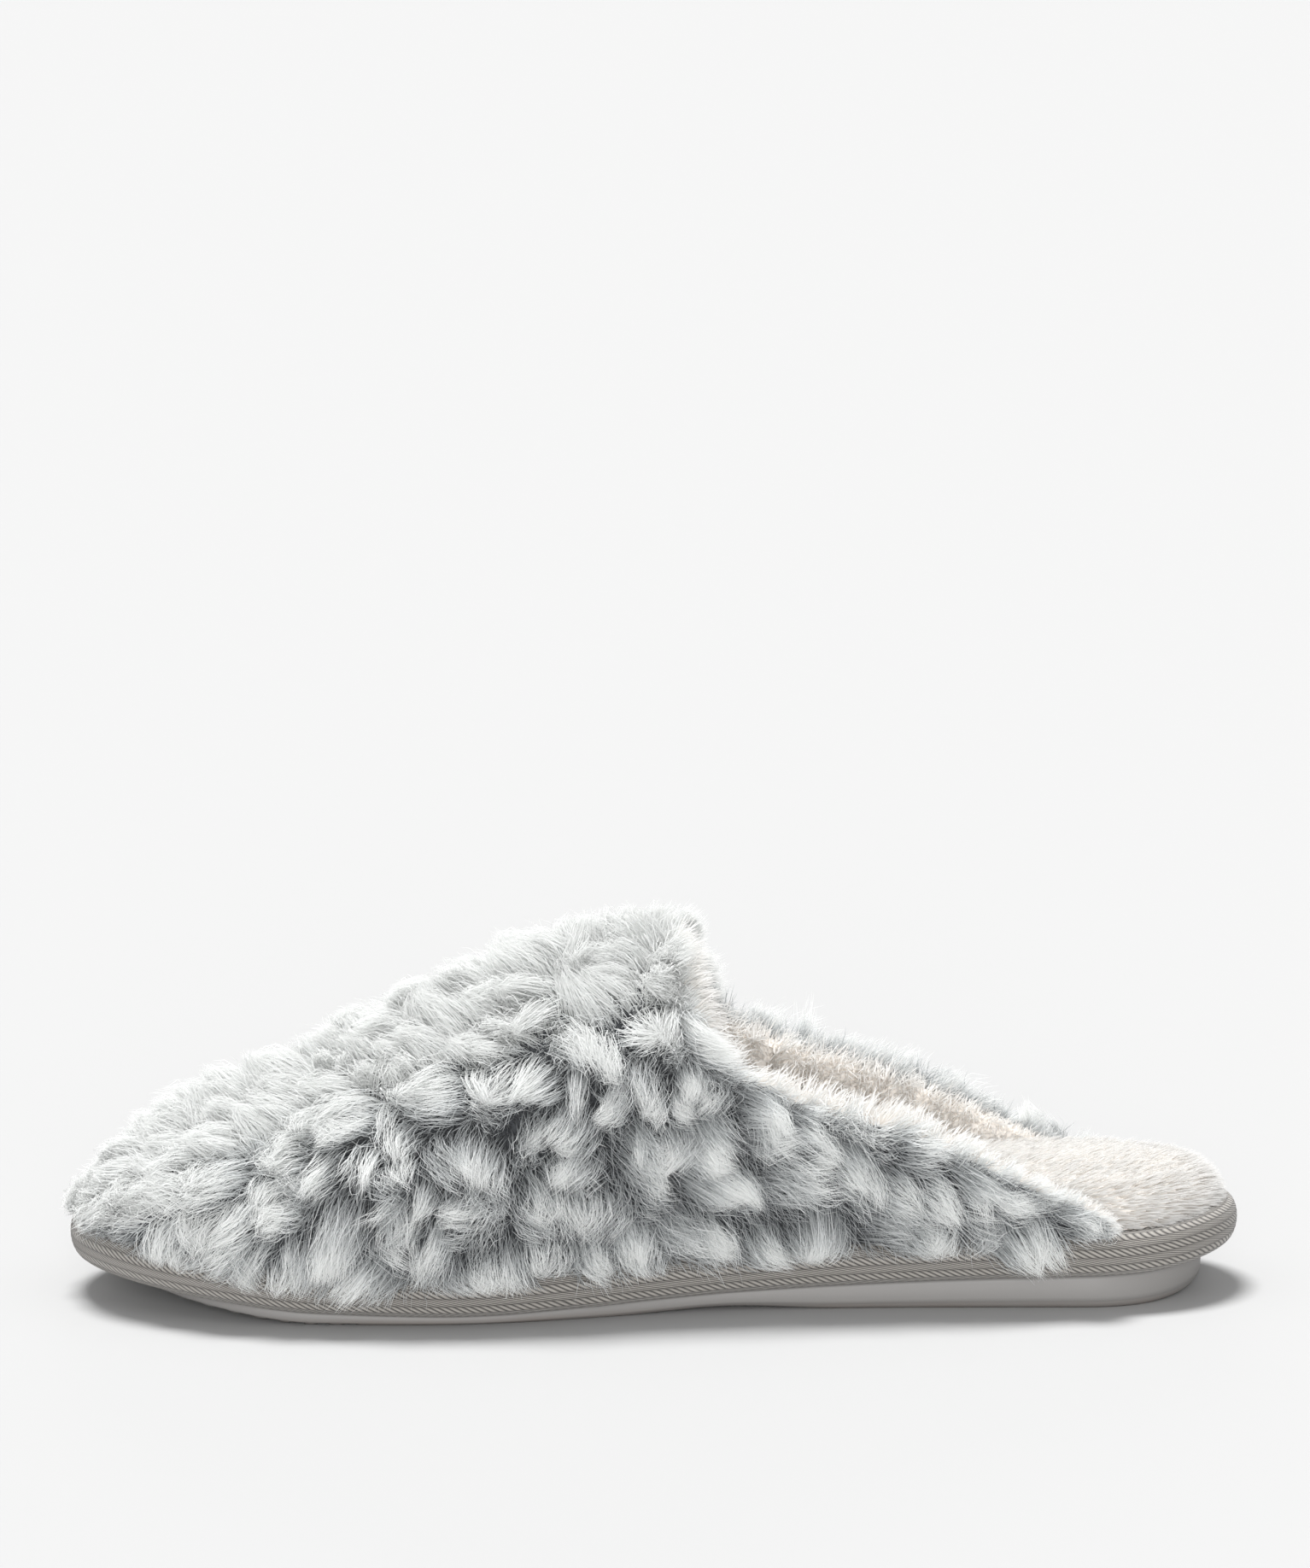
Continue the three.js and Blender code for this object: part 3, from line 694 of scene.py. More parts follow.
# %% Tufts
tuft_at = np.clip(tuft_at + rng.normal(0, 0.011, tuft_count), 0.02, 0.99)
tuft_angle = np.clip(tuft_angle + rng.normal(0, 0.045, tuft_count), 0.03, np.pi - 0.03)
tuft_steep = np.abs(1 - 2 * tuft_angle / np.pi)
tuft_root, tuft_normal, tuft_down = last_frame(tuft_at, tuft_angle)
tuft_comb, tuft_outward = nap(tuft_at, tuft_root, tuft_normal, tuft_down, tuft_steep)
turn = (rng.normal(0, 0.5, tuft_count) * (1.6 - 0.6 * tuft_steep))[:, None]
tuft_across = np.cross(tuft_normal, tuft_comb)
tuft_comb = unit(tuft_comb * np.cos(turn) + tuft_across * np.sin(turn))
tuft_across = np.cross(tuft_normal, tuft_comb)
tuft_stand, tuft_sweep = pile_size(tuft_at, tuft_steep, tuft_outward)
tuft_size = rng.uniform(0.68, 1.1, tuft_count)
tuft_rise = tuft_normal * (tuft_stand * tuft_size)[:, None]
tuft_tip = tuft_root + tuft_rise + tuft_comb * (tuft_sweep * tuft_size)[:, None]
tuft_tight = rng.uniform(0.68, 0.96, tuft_count)
print("highest tuft:", round(float(tuft_tip[:, 2].max())), "mm")

# %% [markdown]
# A tuft is not one brush. It splits into a few locks that curl their own way, like a
# comma, and end side by side. So each tuft gets four locks with a root, a tip and a
# sideways curl.

# %% Locks
LOCKS = 4
ROOT_SPREAD = 3.0
TIP_SPREAD = 2.0
CURL = 3.2


def wander(spread):
    """A random distance for each lock, in millimetres."""
    return rng.normal(0, spread, (tuft_count, LOCKS, 1))


lock_normal, lock_comb, lock_across = (
    np.repeat(v[:, None], LOCKS, axis=1) for v in (tuft_normal, tuft_comb, tuft_across)
)
lock_root = tuft_root[:, None] + lock_comb * wander(ROOT_SPREAD) + lock_across * wander(ROOT_SPREAD)
looser = (0.75 + 0.35 * tuft_steep)[:, None, None]
lock_tip = tuft_tip[:, None] + looser * (
    lock_comb * wander(TIP_SPREAD) + lock_across * wander(TIP_SPREAD) + lock_normal * wander(0.8)
)
lock_curl = (lock_across * wander(CURL)).reshape(-1, 3)
lock_root = lock_root.reshape(-1, 3)
lock_tip = lock_tip.reshape(-1, 3)
lock_tight = np.repeat(tuft_tight, LOCKS) + rng.normal(0, 0.1, len(lock_root))
lock_tight = np.clip(lock_tight, 0.3, 0.97)
print("locks:", len(lock_root))

# %% [markdown]
# Fibres are sown evenly over the fabric. A particle system could scatter them, but a
# draw by area on the two grids of the upper keeps each fibre's place on the last.

# %% Sowing the pile
PILE_FIBRES = 110000


def in_cell(grid, i, j, u, v):
    """A place in a cell of a grid, u of the way down the rows and v across."""
    low = grid[i, j] * (1 - v) + grid[i, j + 1] * v
    high = grid[i + 1, j] * (1 - v) + grid[i + 1, j + 1] * v
    return low * (1 - u) + high * u


def sow(count):
    """Random places on the fabric, even by area: share of length, angle."""
    sides = [side_grid(side) for side in (-1, 1)]
    areas = []
    for at, angle in sides:
        place = last(at, angle)
        row_step = np.linalg.norm(place[1:, :-1] - place[:-1, :-1], axis=-1)
        column_step = np.linalg.norm(place[:-1, 1:] - place[:-1, :-1], axis=-1)
        areas.append(row_step * column_step)
    area = np.concatenate(areas).ravel()
    cell = rng.choice(len(area), count, p=area / area.sum())
    i, j = np.divmod(cell, BACKING_COLUMNS - 1)
    # the second grid starts one row after the first one's last row of cells
    i = i + i // (BACKING_ROWS - 1)
    u, v = rng.random(count), rng.random(count)
    return [in_cell(np.concatenate(grids), i, j, u, v) for grids in zip(*sides)]


fibre_at, fibre_angle = sow(PILE_FIBRES)
fibre_root, fibre_normal, fibre_down = last_frame(fibre_at, fibre_angle)
fibre_steep = np.abs(1 - 2 * fibre_angle / np.pi)
print("fibres in the wings:", int((fibre_at < THROAT).sum()))

# %% [markdown]
# Each fibre belongs to the nearest lock and leans towards its tip, closely on the sides
# and loosely on top, where the nap lies flat and hides the roots. A share of shorter
# fibres joins no lock and fills the gaps with grey.

# %% Where each fibre leans
LOOSE_SHARE = 0.25
LOOSE_GATHER = 0.12

lock_of = nearest(fibre_root + rng.normal(0, 0.8, fibre_root.shape), lock_root)
tuft_of = lock_of // LOCKS
loose = rng.random(PILE_FIBRES) < LOOSE_SHARE
own_comb, outward = nap(fibre_at, fibre_root, fibre_normal, fibre_down, fibre_steep)
stand, sweep = pile_size(fibre_at, fibre_steep, outward)
stray = rng.normal(0, 0.45, (PILE_FIBRES, 1)) * np.cross(fibre_normal, own_comb)
free_tip = fibre_root + fibre_normal * stand[:, None] + unit(own_comb + stray) * sweep[:, None]

# the vamp and the toe are combed flat and show little but tips; this mask also gives their dye
# painted light and shade, below
toe_cap = fade(fibre_at, 0.74, 0.9) * fade(fibre_steep, 0.95, 0.75)
smooth = np.maximum(fade(fibre_steep, 0.62, 0.32), 0.85 * toe_cap)
# fibres at the rim of a tuft gather less than those of its core
core_gap = np.linalg.norm(fibre_root - tuft_root[tuft_of], axis=-1)
outer = fade(core_gap / TUFT_PITCH, 0.33, 0.58) * (1 - 0.6 * smooth)
gather = lock_tight[lock_of] * (1 - 0.4 * outer)
gather *= 1 - 0.75 * fade(fibre_steep, 0.7, 0.2) * outward
gather = np.where(loose, LOOSE_GATHER, gather)[:, None]
print("loose fibres:", int(loose.sum()))

# %% [markdown]
# The tip is then drawn back by the fibre's own length. Low on the sides the pile hangs
# a few millimetres over the tape and is cut off there, so that the tape stays in sight.
# Between root and tip the fibre first stands up and then curls with its lock.

# %% How each fibre bends
OVERHANG = 4.0
FRIZZY_SHARE = 0.35

loose_length = rng.uniform(0.5, 0.95, PILE_FIBRES)
lock_length = rng.uniform(0.76, 1.05, PILE_FIBRES)
length = np.where(loose, loose_length, lock_length)
fibre_tip = free_tip * (1 - gather) + lock_tip[lock_of] * gather
fibre_tip += rng.normal(0, 0.55, fibre_tip.shape) * (1 + 1.5 * loose[:, None])
fibre_tip = fibre_root + (fibre_tip - fibre_root) * length[:, None]
overhang = rng.normal(OVERHANG, 2.0, tuft_count)[tuft_of] + rng.normal(0, 0.6, PILE_FIBRES)
overhang *= np.clip((1.01 - fibre_at) / 0.07, 0.1, 1)
lowest = foot_height(np.clip(fibre_tip[:, 0], place_at(1), HEEL_SEAT)) - overhang
fibre_tip[:, 2] -= 0.9 * np.minimum(fibre_tip[:, 2] - lowest, 0)

reach = fibre_tip - fibre_root
curl = lock_curl[lock_of] * (~loose)[:, None]
rise = fibre_normal * (stand * length)[:, None]
fibre_lift = fibre_root + 0.5 * rise + 0.08 * reach + 0.3 * curl
fibre_bend = fibre_root + 0.6 * reach + 0.42 * rise + curl
frizz = np.where(rng.random((PILE_FIBRES, 1)) < FRIZZY_SHARE, 1.5, 0.6)
fibre_lift += rng.normal(0, 0.6, fibre_bend.shape) * frizz
fibre_bend += rng.normal(0, 1.0, fibre_bend.shape) * frizz
print("middle fibre reaches", round(float(np.median(np.linalg.norm(reach, axis=1))), 1), "mm")

# %% [markdown]
# The dye gives each fibre two places on the colour ramp, one at its root and one at its
# tip. Combed-flat fibres hide their roots, and on top their dye also starts and ends
# paler, painted light for the top that the overhead light falls on, with a tone a little
# lower, painted shade against its glare. The pile is then made as four pieces, toe,
# instep and two sides, which share one material.

# %% The dyed pile
TOE_FROM = 0.76
SIDE_FROM = 0.42
FIBRE_WIDTH = (0.13, 0.24)

# the combed-flat top's raised dye and paler roots are painted light, its lower tone painted shade
dye = np.where(loose, 0.6, 0.97) * length + 0.2 * smooth + rng.normal(0, 0.05, PILE_FIBRES)
dye = np.clip(dye - 0.4 * outer, 0.4, 1.2)
pale = np.clip(smooth * rng.normal(0.74, 0.1, tuft_count)[tuft_of], 0.1, 0.8)
tone = np.clip(rng.normal(0.98, 0.04, PILE_FIBRES), 0.8, 1.04) * (1 - 0.08 * smooth)
fibre_width = rng.uniform(*FIBRE_WIDTH, PILE_FIBRES) * (1 + 0.35 * smooth)

toe = fibre_at > TOE_FROM
on_side = ~toe & (fibre_steep >= SIDE_FROM)
outer_half = fibre_angle > np.pi / 2
regions = {
    "pile_toe": toe,
    "pile_instep": ~toe & ~on_side,
    "pile_inner_side": on_side & ~outer_half,
    "pile_outer_side": on_side & outer_half,
}
for name, chosen in regions.items():
    fibres(
        name, fibre_root[chosen], fibre_lift[chosen], fibre_bend[chosen], fibre_tip[chosen],
        fibre_normal[chosen], fibre_width[chosen], (pale[chosen], dye[chosen]), tone[chosen],
        polyester_pile,
    )

# %% [markdown]
# Along the topline the pile is not combed down. It stands up as a fringe over the
# opening, most of all at the throat, where it leans back towards the heel. It thins out
# on the near side and gets shorter towards the tips of the wings.

# %% Fringe along the topline
FRINGE_FIBRES = 12500
FRINGE_REACH = 9.5
FRINGE_DEPTH = 5.0
CLUMP = 12

far_rim = rim_place[:, 1] > 0
rim_wing = fade(rim_at, 0.3, 0.2)
rim_tip = fade(rim_at, 0.165, 0.12)
rim_standing = np.where(far_rim, 1.0, 0.55)
rim_standing = np.maximum(rim_standing, fade(rim_at, 0.44, 0.47))
rim_standing = np.maximum(rim_standing, 0.8 * rim_wing)
k = rng.choice(len(rim_place), FRINGE_FIBRES, p=rim_standing / rim_standing.sum())
clump = nearest(rim_place[k], rim_place[::CLUMP])
clump_way = rng.normal(0, 0.4, (len(rim_place[::CLUMP]), 3))
fringe_root = rim_place[k] - rim_off[k] * rng.uniform(0, FRINGE_DEPTH, (FRINGE_FIBRES, 1))
fringe_root += rim_normal[k] * rng.uniform(-1.0, 0.6, (FRINGE_FIBRES, 1))
heelward = np.array([[0.45, 0, 0]])
fringe_way = rim_off[k] + rim_normal[k] * rng.uniform(0.15, 0.9, (FRINGE_FIBRES, 1)) + heelward
fringe_way = unit(fringe_way + clump_way[clump] + rng.normal(0, 0.16, fringe_way.shape))
fringe_long = FRINGE_REACH * rng.uniform(0.6, 1.15, (FRINGE_FIBRES, 1))
shorter = (1 - 0.4 * fade(rim_at, 0.3, 0.38)) * (1 - 0.35 * rim_wing) * (1 - 0.5 * rim_tip)
fringe_long *= shorter[k][:, None]
droop = np.array([[0.25, 0, -0.6]]) * rng.uniform(0, 3, (FRINGE_FIBRES, 1))
rim_pale = np.where(far_rim, 0.24, 0.34 + 0.06 * rim_wing)
rim_pale = np.maximum(rim_pale, 0.45 * fade(rim_at, 0.44, 0.48))
fringe_dye = rng.normal(0.62, 0.08, FRINGE_FIBRES) + 0.09 * ~far_rim[k]
# the fringe's tone, a little below the pile's, is painted shade against the light that shines
# through it from behind
fibres(
    "pile_fringe", fringe_root, fringe_root + fringe_way * 0.4 * fringe_long,
    fringe_root + fringe_way * 0.85 * fringe_long,
    fringe_root + fringe_way * fringe_long + droop, rim_normal[k],
    rng.uniform(*FIBRE_WIDTH, FRINGE_FIBRES), (rim_pale[k], fringe_dye),
    np.clip(rng.normal(0.92, 0.05, FRINGE_FIBRES), 0.7, 1.0), polyester_pile,
)

# %% [markdown]
# The lining is a cream plush. It clothes the inside of the upper and stands up along
# the topline, where it hides the cut edge and frames the opening with a pale roll. It
# is made of the same ribbons as the pile, a little wider.

# %% Lining plush
LINING_FIBRES = 6000
PLUSH_WIDTH = (0.22, 0.38)


def plush(name, root, way, long, tip, facing, shade=1.0, fine=1.0):
    """Cream fibres; shade scales their colour as painted light and shade for where they sit, and
    fine makes them thinner.
    """
    count = len(root)
    return fibres(
        name, root, root + way * 0.35 * long, root + way * 0.8 * long, tip, facing,
        fine * rng.uniform(*PLUSH_WIDTH, count), (np.zeros(count), rng.uniform(0.8, 1.0, count)),
        shade * np.clip(rng.normal(0.99, 0.02, count), 0.9, 1.03), cream_plush,
    )


lining_at, lining_angle = sow(LINING_FIBRES)
place, normal, down = last_frame(lining_at, lining_angle)
inside = place - normal * WALL
way = unit(-normal + 0.3 * rng.normal(0, 1, normal.shape))
long = rng.uniform(2.5, 4.5, (LINING_FIBRES, 1))
lining_tip = inside + way * long - down * 3.0
# shade above 1 is painted light for the lining, which sits in the shade inside the upper
plush("lining_plush", inside, way, long, lining_tip, -normal, shade=1.06)

# %% Roll of plush along the topline
ROLL_FIBRES = 21500
ROLL_DEPTH = 6.5

k = rng.integers(0, len(rim_place), ROLL_FIBRES)
depth = ROLL_DEPTH * rng.random((ROLL_FIBRES, 1)) ** 1.2
# the first millimetre goes over the cut edge and the rest goes down inside
over = np.clip(depth, 0, 1)
below = np.clip(depth - 1, 0, None)
roll_root = rim_place[k] - rim_normal[k] * WALL * over - rim_off[k] * WALL * 1.4 * below
roll_root[:, 2] = np.maximum(roll_root[:, 2], foot_height(roll_root[:, 0]) + 1.0)
inner = fade(below, 0, 1.5)
far = far_rim[k][:, None]
lean = 0.75 - 0.45 * ~far - 1.2 * over - 0.6 * inner
way = rim_off[k] * (1.0 - 0.45 * inner) + rim_normal[k] * lean
roll_clump = rng.normal(0, 0.32, (len(rim_place[::CLUMP]), 3))[k // CLUMP]
way = unit(way + roll_clump + rng.normal(0, 0.36, way.shape))
long = rng.uniform(4.5, 9.5, (ROLL_FIBRES, 1)) * (1 - 0.4 * (far & (depth < 1)))
long *= ((1 - 0.5 * rim_wing) * (1 - 0.4 * rim_tip))[k][:, None]
sag = np.array([[0.5, 0, -0.8]]) * rng.uniform(0, 1.6, (ROLL_FIBRES, 1))
roll_tip = roll_root + way * long + sag
# shade below 1 is painted shade for the roll, whose top the overhead light falls full on
plush("collar_plush", roll_root, way, long, roll_tip, rim_normal[k], shade=0.89)

# %% [markdown]
# Under the heel lies a foam cushion covered in short cream plush. Its shape is a stack
# of rings that roll in from the binding and meet on a gently crowned top. The tape
# holds it all round, so it can't swell or slip, and it is laid out in code from the
# CAD model's own crown, with no cloth simulation.

# %% Shape of the insole cushion
LIP_OVER = 6.0
LIP_UNDER = 9.5
HEEL_CUSHION = 11.0
FORE_CUSHION = 4.0
CUSHION_ROLL = 7.0
EDGE_CROWN = 0.88
CUSHION_AROUND = 240
ROLL_STEPS = 7
TOP_COLUMNS = 18

CUSHION = {
    "at": [0, 0.15, 0.32, 0.52, 0.75, 1],
    "rise": [0.75 * HEEL_CUSHION, HEEL_CUSHION, 0.8 * HEEL_CUSHION,
             1.2 * FORE_CUSHION, FORE_CUSHION, 0.6 * FORE_CUSHION],
}


def crown(x):
    return read(CUSHION, "rise", share_at(x))


def cushion_rings():
    """Two rings under the tape, then the roll over the cushion's edge."""
    where = np.arange(CUSHION_AROUND) * AROUND / CUSHION_AROUND
    rim = LIP_OVER + CLEARANCE
    rows = []
    for inset in (LIP_UNDER, rim):
        ring = edge(where, inset)
        rows.append(np.column_stack([ring, under(ring[:, 0]) + 0.2 * BINDING_HEIGHT]))
    for angle in np.linspace(0, np.pi / 2, ROLL_STEPS):
        ring = edge(where, rim + CUSHION_ROLL * (1 - math.cos(angle)))
        rise = EDGE_CROWN * crown(ring[:, 0]) * math.sin(angle)
        rows.append(np.column_stack([ring, under(ring[:, 0]) + BINDING_HEIGHT + rise]))
    return np.stack(rows)


def cushion_top(ring):
    """The crowned top, in lines from one side of the last ring to the other."""
    half = CUSHION_AROUND // 2
    near, far = ring[1:half, None], ring[: half : -1, None]
    share = np.linspace(0, 1, TOP_COLUMNS)[None, :, None]
    top = near * (1 - share) + far * share
    bow = EDGE_CROWN + (1 - EDGE_CROWN) * np.sin(np.pi * share[..., 0])
    top[..., 2] = under(top[..., 0]) + BINDING_HEIGHT + bow * crown(top[..., 0])
    return top


def fan(middle, line):
    """Triangles from one point to the steps of a line of points."""
    return np.stack([np.full(len(line) - 1, middle), line[:-1], line[1:]], axis=1)


def cushion():
    """Points and faces, with the rings and the top as grids of points."""
    rings = cushion_rings()
    top = cushion_top(rings[-1])
    index, walls = ring_faces(*rings.shape[:2])
    lines = index.size + np.arange(top[..., 0].size).reshape(top.shape[:2])
    sheet = grid_faces(*top.shape[:2], index.size)[:, ::-1]
    heel = fan(index[-1, 0], lines[0])[:, ::-1]
    toe = fan(index[-1, CUSHION_AROUND // 2], lines[-1])
    points = np.concatenate([rings.reshape(-1, 3), top.reshape(-1, 3)])
    return points, [walls, sheet, heel, toe], rings, top


# %% Insole cushion
insole_points, insole_faces, insole_rings, insole_top = cushion()
insole_piece = add_mesh("insole_cushion", insole_points, insole_faces, cream_knit)
weld = insole_piece.modifiers.new("close the seams", "WELD")
weld.merge_threshold = 0.05 * MM
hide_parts("insole")

# %% [markdown]
# The plush on the cushion is shorter than the lining, about 2.5 mm, and half as long
# again on the rolled edge. It is brushed towards the heel, and sown densely where the
# heel rests and thinly under the vamp, where only a glimpse of it shows.

# %% Insole plush
INSOLE_FIBRES = 31500
PLUSH_REACH = 2.4
ROLL_REACH = 1.5
UNDER_VAMP = 0.12


def sow_grid(grid, count):
    """Random points on a grid of points, even by area, with their normals."""
    face = np.cross(grid[1:, :-1] - grid[:-1, :-1], grid[:-1, 1:] - grid[:-1, :-1])
    area = np.linalg.norm(face, axis=-1)
    weight = area * np.where(share_at(grid[:-1, :-1, 0]) < 0.5, 1.0, UNDER_VAMP)
    cell = rng.choice(area.size, count, p=(weight / weight.sum()).ravel())
    i, j = np.divmod(cell, area.shape[1])
    u, v = rng.random((count, 1)), rng.random((count, 1))
    up = unit(face[i, j])
    return in_cell(grid, i, j, u, v), up * np.where(up[:, 2:3] < 0, -1, 1), weight.sum()


rolled = insole_rings[2:]
rolled = np.concatenate([rolled, rolled[:, :1]], axis=1)
_, _, top_weight = sow_grid(insole_top, 1)
_, _, roll_weight = sow_grid(rolled, 1)
top_count = int(INSOLE_FIBRES * top_weight / (top_weight + roll_weight))
top_place, top_up, _ = sow_grid(insole_top, top_count)
roll_place, roll_up, _ = sow_grid(rolled, INSOLE_FIBRES - top_count)
plush_root = np.concatenate([top_place, roll_place])
plush_up = np.concatenate([top_up, roll_up])
brushed = np.array([[1.0, 0.0, 0.0]])
way = unit(plush_up + brushed * 1.5 + rng.normal(0, 0.2, plush_root.shape))
long = PLUSH_REACH * np.where(np.arange(INSOLE_FIBRES) < top_count, 1.0, ROLL_REACH)[:, None]
plush_tip = plush_root + way * long + brushed * 0.8
# shade below 1 is painted shade for the insole, which the overhead light falls full on
plush(
    "insole_plush", plush_root, way, long, plush_tip, plush_up,
    shade=0.78, fine=0.9,
)

# %% [markdown]
# The platform's edge is bound with a cotton herringbone tape. It is folded over the
# edge like piping, one lip on top and one underneath, and its ends lap at the waist.
# Each point stores how far along and how far across the tape it lies, in millimetres,
# which is all the weave needs.

# %% Shape of the binding tape
TAPE = 1.2
BEAD_DEPTH = 2.4
TAPE_AROUND = 620
JOINT_AT = 0.583
JOINT_OVERLAP = 5.0
JOINT_SLANT = 3.0
TAPE_LIFT = 0.4


def tape_profile(skin, steps):
    """Inset and height above the underside, from the lower lip round to the upper."""
    middle = BINDING_HEIGHT / 2
    angle = np.linspace(-np.pi / 2, np.pi / 2, steps)
    depth = BEAD_DEPTH - skin / 2
    inset = skin + depth * (1 - np.cos(angle))
    height = middle + (middle - skin) * np.sin(angle)
    upper_lip = [0.5 * (LIP_OVER + BEAD_DEPTH), LIP_OVER]
    inset = np.concatenate([[LIP_UNDER, 0.6 * LIP_UNDER], inset, upper_lip])
    height = np.concatenate([[skin, skin], height, [BINDING_HEIGHT - skin] * 2])
    return inset, height


def tape():
    inset, height = tape_profile(0.0, 15)
    inner_inset, inner_height = tape_profile(TAPE, 7)
    inset = np.concatenate([inset, inner_inset[::-1]])
    height = np.concatenate([height, inner_height[::-1]])
    across = gone_along(np.column_stack([inset, height]))
    start = np.interp(ring_place(JOINT_AT), np.arange(AROUND + 1), ring_gone)
    along = np.linspace(0, perimeter + JOINT_OVERLAP, TAPE_AROUND)
    lap = TAPE_LIFT * fade(along - perimeter, -4, -1)
    rows = []
    for d, h in zip(inset, height):
        slant = JOINT_SLANT * (h - BINDING_HEIGHT / 2)
        gone = (start + along + slant) % perimeter
        where = np.interp(gone, ring_gone, np.arange(AROUND + 1))
        ring = edge(where, d)
        ring -= (edge(where, d + 1) - ring) * lap[:, None]
        rows.append(np.column_stack([ring, under(ring[:, 0]) + h]))
    grid = np.stack(rows, axis=1)
    weave = np.zeros_like(grid)
    weave[..., 0] = along[:, None]
    weave[..., 1] = across[None, :]
    return grid, weave


tape_grid, tape_weave = tape()
print("tape across, both faces:", round(float(tape_weave[0, -1, 1])), "mm")

# %% [markdown]
# Cotton is matt, and a herringbone weave throws small shadows between its threads. Here
# those shadows are painted into the colour as the dark between the stitches, and the
# whole tape is painted darker than the real cotton, painted shade for the shade it lies
# in under the pile. The real threads are under a millimetre apart. They are drawn 1.8 mm
# apart here, coarser than real, because finer ones don't show in the render.

# %% Woven cotton
WEAVE_MM = 1.8


def herringbone_material(name, light, dark, thread_mm, rib_mm):
    """Rows of slanting stitches that change direction from row to row, with painted shadow in dark
    between the threads.
    """
    material, tree, shader = new_material(name, {"Roughness": 0.85, "Sheen Weight": 0.2})
    place = add_node(tree, "ShaderNodeAttribute", {"attribute_name": "tape_mm"})
    part = add_node(tree, "ShaderNodeSeparateXYZ", links={0: place.outputs["Vector"]})

    def calc(operation, a, b=None):
        links, settings = {}, {"operation": operation}
        for key, value in ((0, a), (1, b)):
            if value is None:
                continue
            if isinstance(value, (int, float)):
                settings[key] = value
            else:
                links[key] = value
        return add_node(tree, "ShaderNodeMath", settings, links).outputs[0]

    row = calc("DIVIDE", part.outputs["Y"], rib_mm)
    in_row = calc("FRACT", row)
    turned = calc("FLOORED_MODULO", calc("FLOOR", row), 2.0)
    way = calc("SUBTRACT", calc("MULTIPLY", turned, 2.0), 1.0)
    slant = calc("MULTIPLY", calc("MULTIPLY", way, calc("SUBTRACT", in_row, 0.5)), 1.1)
    phase = calc("ADD", calc("DIVIDE", part.outputs["X"], thread_mm), slant)
    stitch = calc("ABSOLUTE", calc("SINE", calc("MULTIPLY", phase, math.pi)))
    rib = calc("POWER", calc("ABSOLUTE", calc("SINE", calc("MULTIPLY", in_row, math.pi))), 0.25)
    height = calc("MULTIPLY", stitch, rib)
    # where the height is low the mix paints the dark colour, painted shadow between the threads
    colour = add_node(
        tree, "ShaderNodeMix",
        {"data_type": "RGBA", 6: hex_colour(dark), 7: hex_colour(light)}, {0: height},
    )
    tree.links.new(colour.outputs[2], shader.inputs["Base Color"])
    relief = add_node(
        tree, "ShaderNodeBump", {"Strength": 0.8, "Distance": 0.25 * MM}, {"Height": height}
    )
    tree.links.new(relief.outputs["Normal"], shader.inputs["Normal"])
    return material


# both colours are painted shade, darker than the real cotton; the dark one is painted shadow
# between the threads
cotton_tape = herringbone_material(
    "herringbone cotton tape", "#9b9791", "#242120", WEAVE_MM, WEAVE_MM
)
tape_piece = add_mesh(
    "binding_tape", tape_grid, [grid_faces(*tape_grid.shape[:2])], cotton_tape,
    {"tape_mm": tape_weave.reshape(-1, 3)},
)
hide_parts("edge_binding")

# %% [markdown]
# The sole is moulded foam rubber: a plain side wall with a fine parting line, and a
# tread of cross lugs. A box with a boolean for each groove would be slow and rough, so
# one ring for each level gives the wall, and the lowest ring follows the lugs.

# %% Shape of the moulded sole
SOLE_SETBACK = 4.0
HEEL_SETBACK = 8.0
TOE_SETBACK = 14.0
HEEL_TAPER = 0.14
TOE_TAPER = 0.2
LUG_PITCH = 5.6
LUG_DEPTH = 1.2
BALL_AT = 0.68
LUG_ZONES = ((0.065, 0.36), (0.5, 0.92))
LEVELS = [
    # inset, share of the height, groove under the sole, groove at the toe's edge
    (6.0, 0.0, 1.0, 1.0),
    (4.6, 0.0, 0.0, 1.0),
    (2.2, 0.0, 0.0, 1.0),
    (1.3, 0.06, 0.0, 1.0),
    (0.8, 0.14, 0.0, 0.9),
    (0.6, 0.19, 0.0, 0.3),
    (0.5, 0.22, 0.0, 0.0),
    (0.3, 0.24, 0.0, 0.0),
    (0.1, 0.36, 0.0, 0.0),
    (0.0, 0.6, 0.0, 0.0),
    (0.1, 0.85, 0.0, 0.0),
    (0.3, 1.0, 0.0, 0.0),
]


def sole_setback(at):
    heel = fade(at, HEEL_TAPER, 0) ** 2
    toe = fade(at, 1 - TOE_TAPER, 1) ** 2
    return (
        SOLE_SETBACK
        + (HEEL_SETBACK - SOLE_SETBACK) * heel
        + (TOE_SETBACK - SOLE_SETBACK) * toe
    )


def lug_groove(x):
    """Depth of the cross grooves, 0 on a land."""
    at = share_at(x)
    middle = np.where(at < 0.43, HEEL_SEAT / LENGTH, BALL_AT)
    offset = (at - middle) * LENGTH / LUG_PITCH
    wave = 0.5 - 0.5 * np.cos(2 * np.pi * offset)
    grooved = np.any([(at > low) & (at < high) for low, high in LUG_ZONES], axis=0)
    depth = np.minimum(LUG_DEPTH, 0.5 * (under(x) - CLEARANCE - tread(x)))
    return np.where(grooved, depth * fade(wave, 0.55, 0.85), 0)


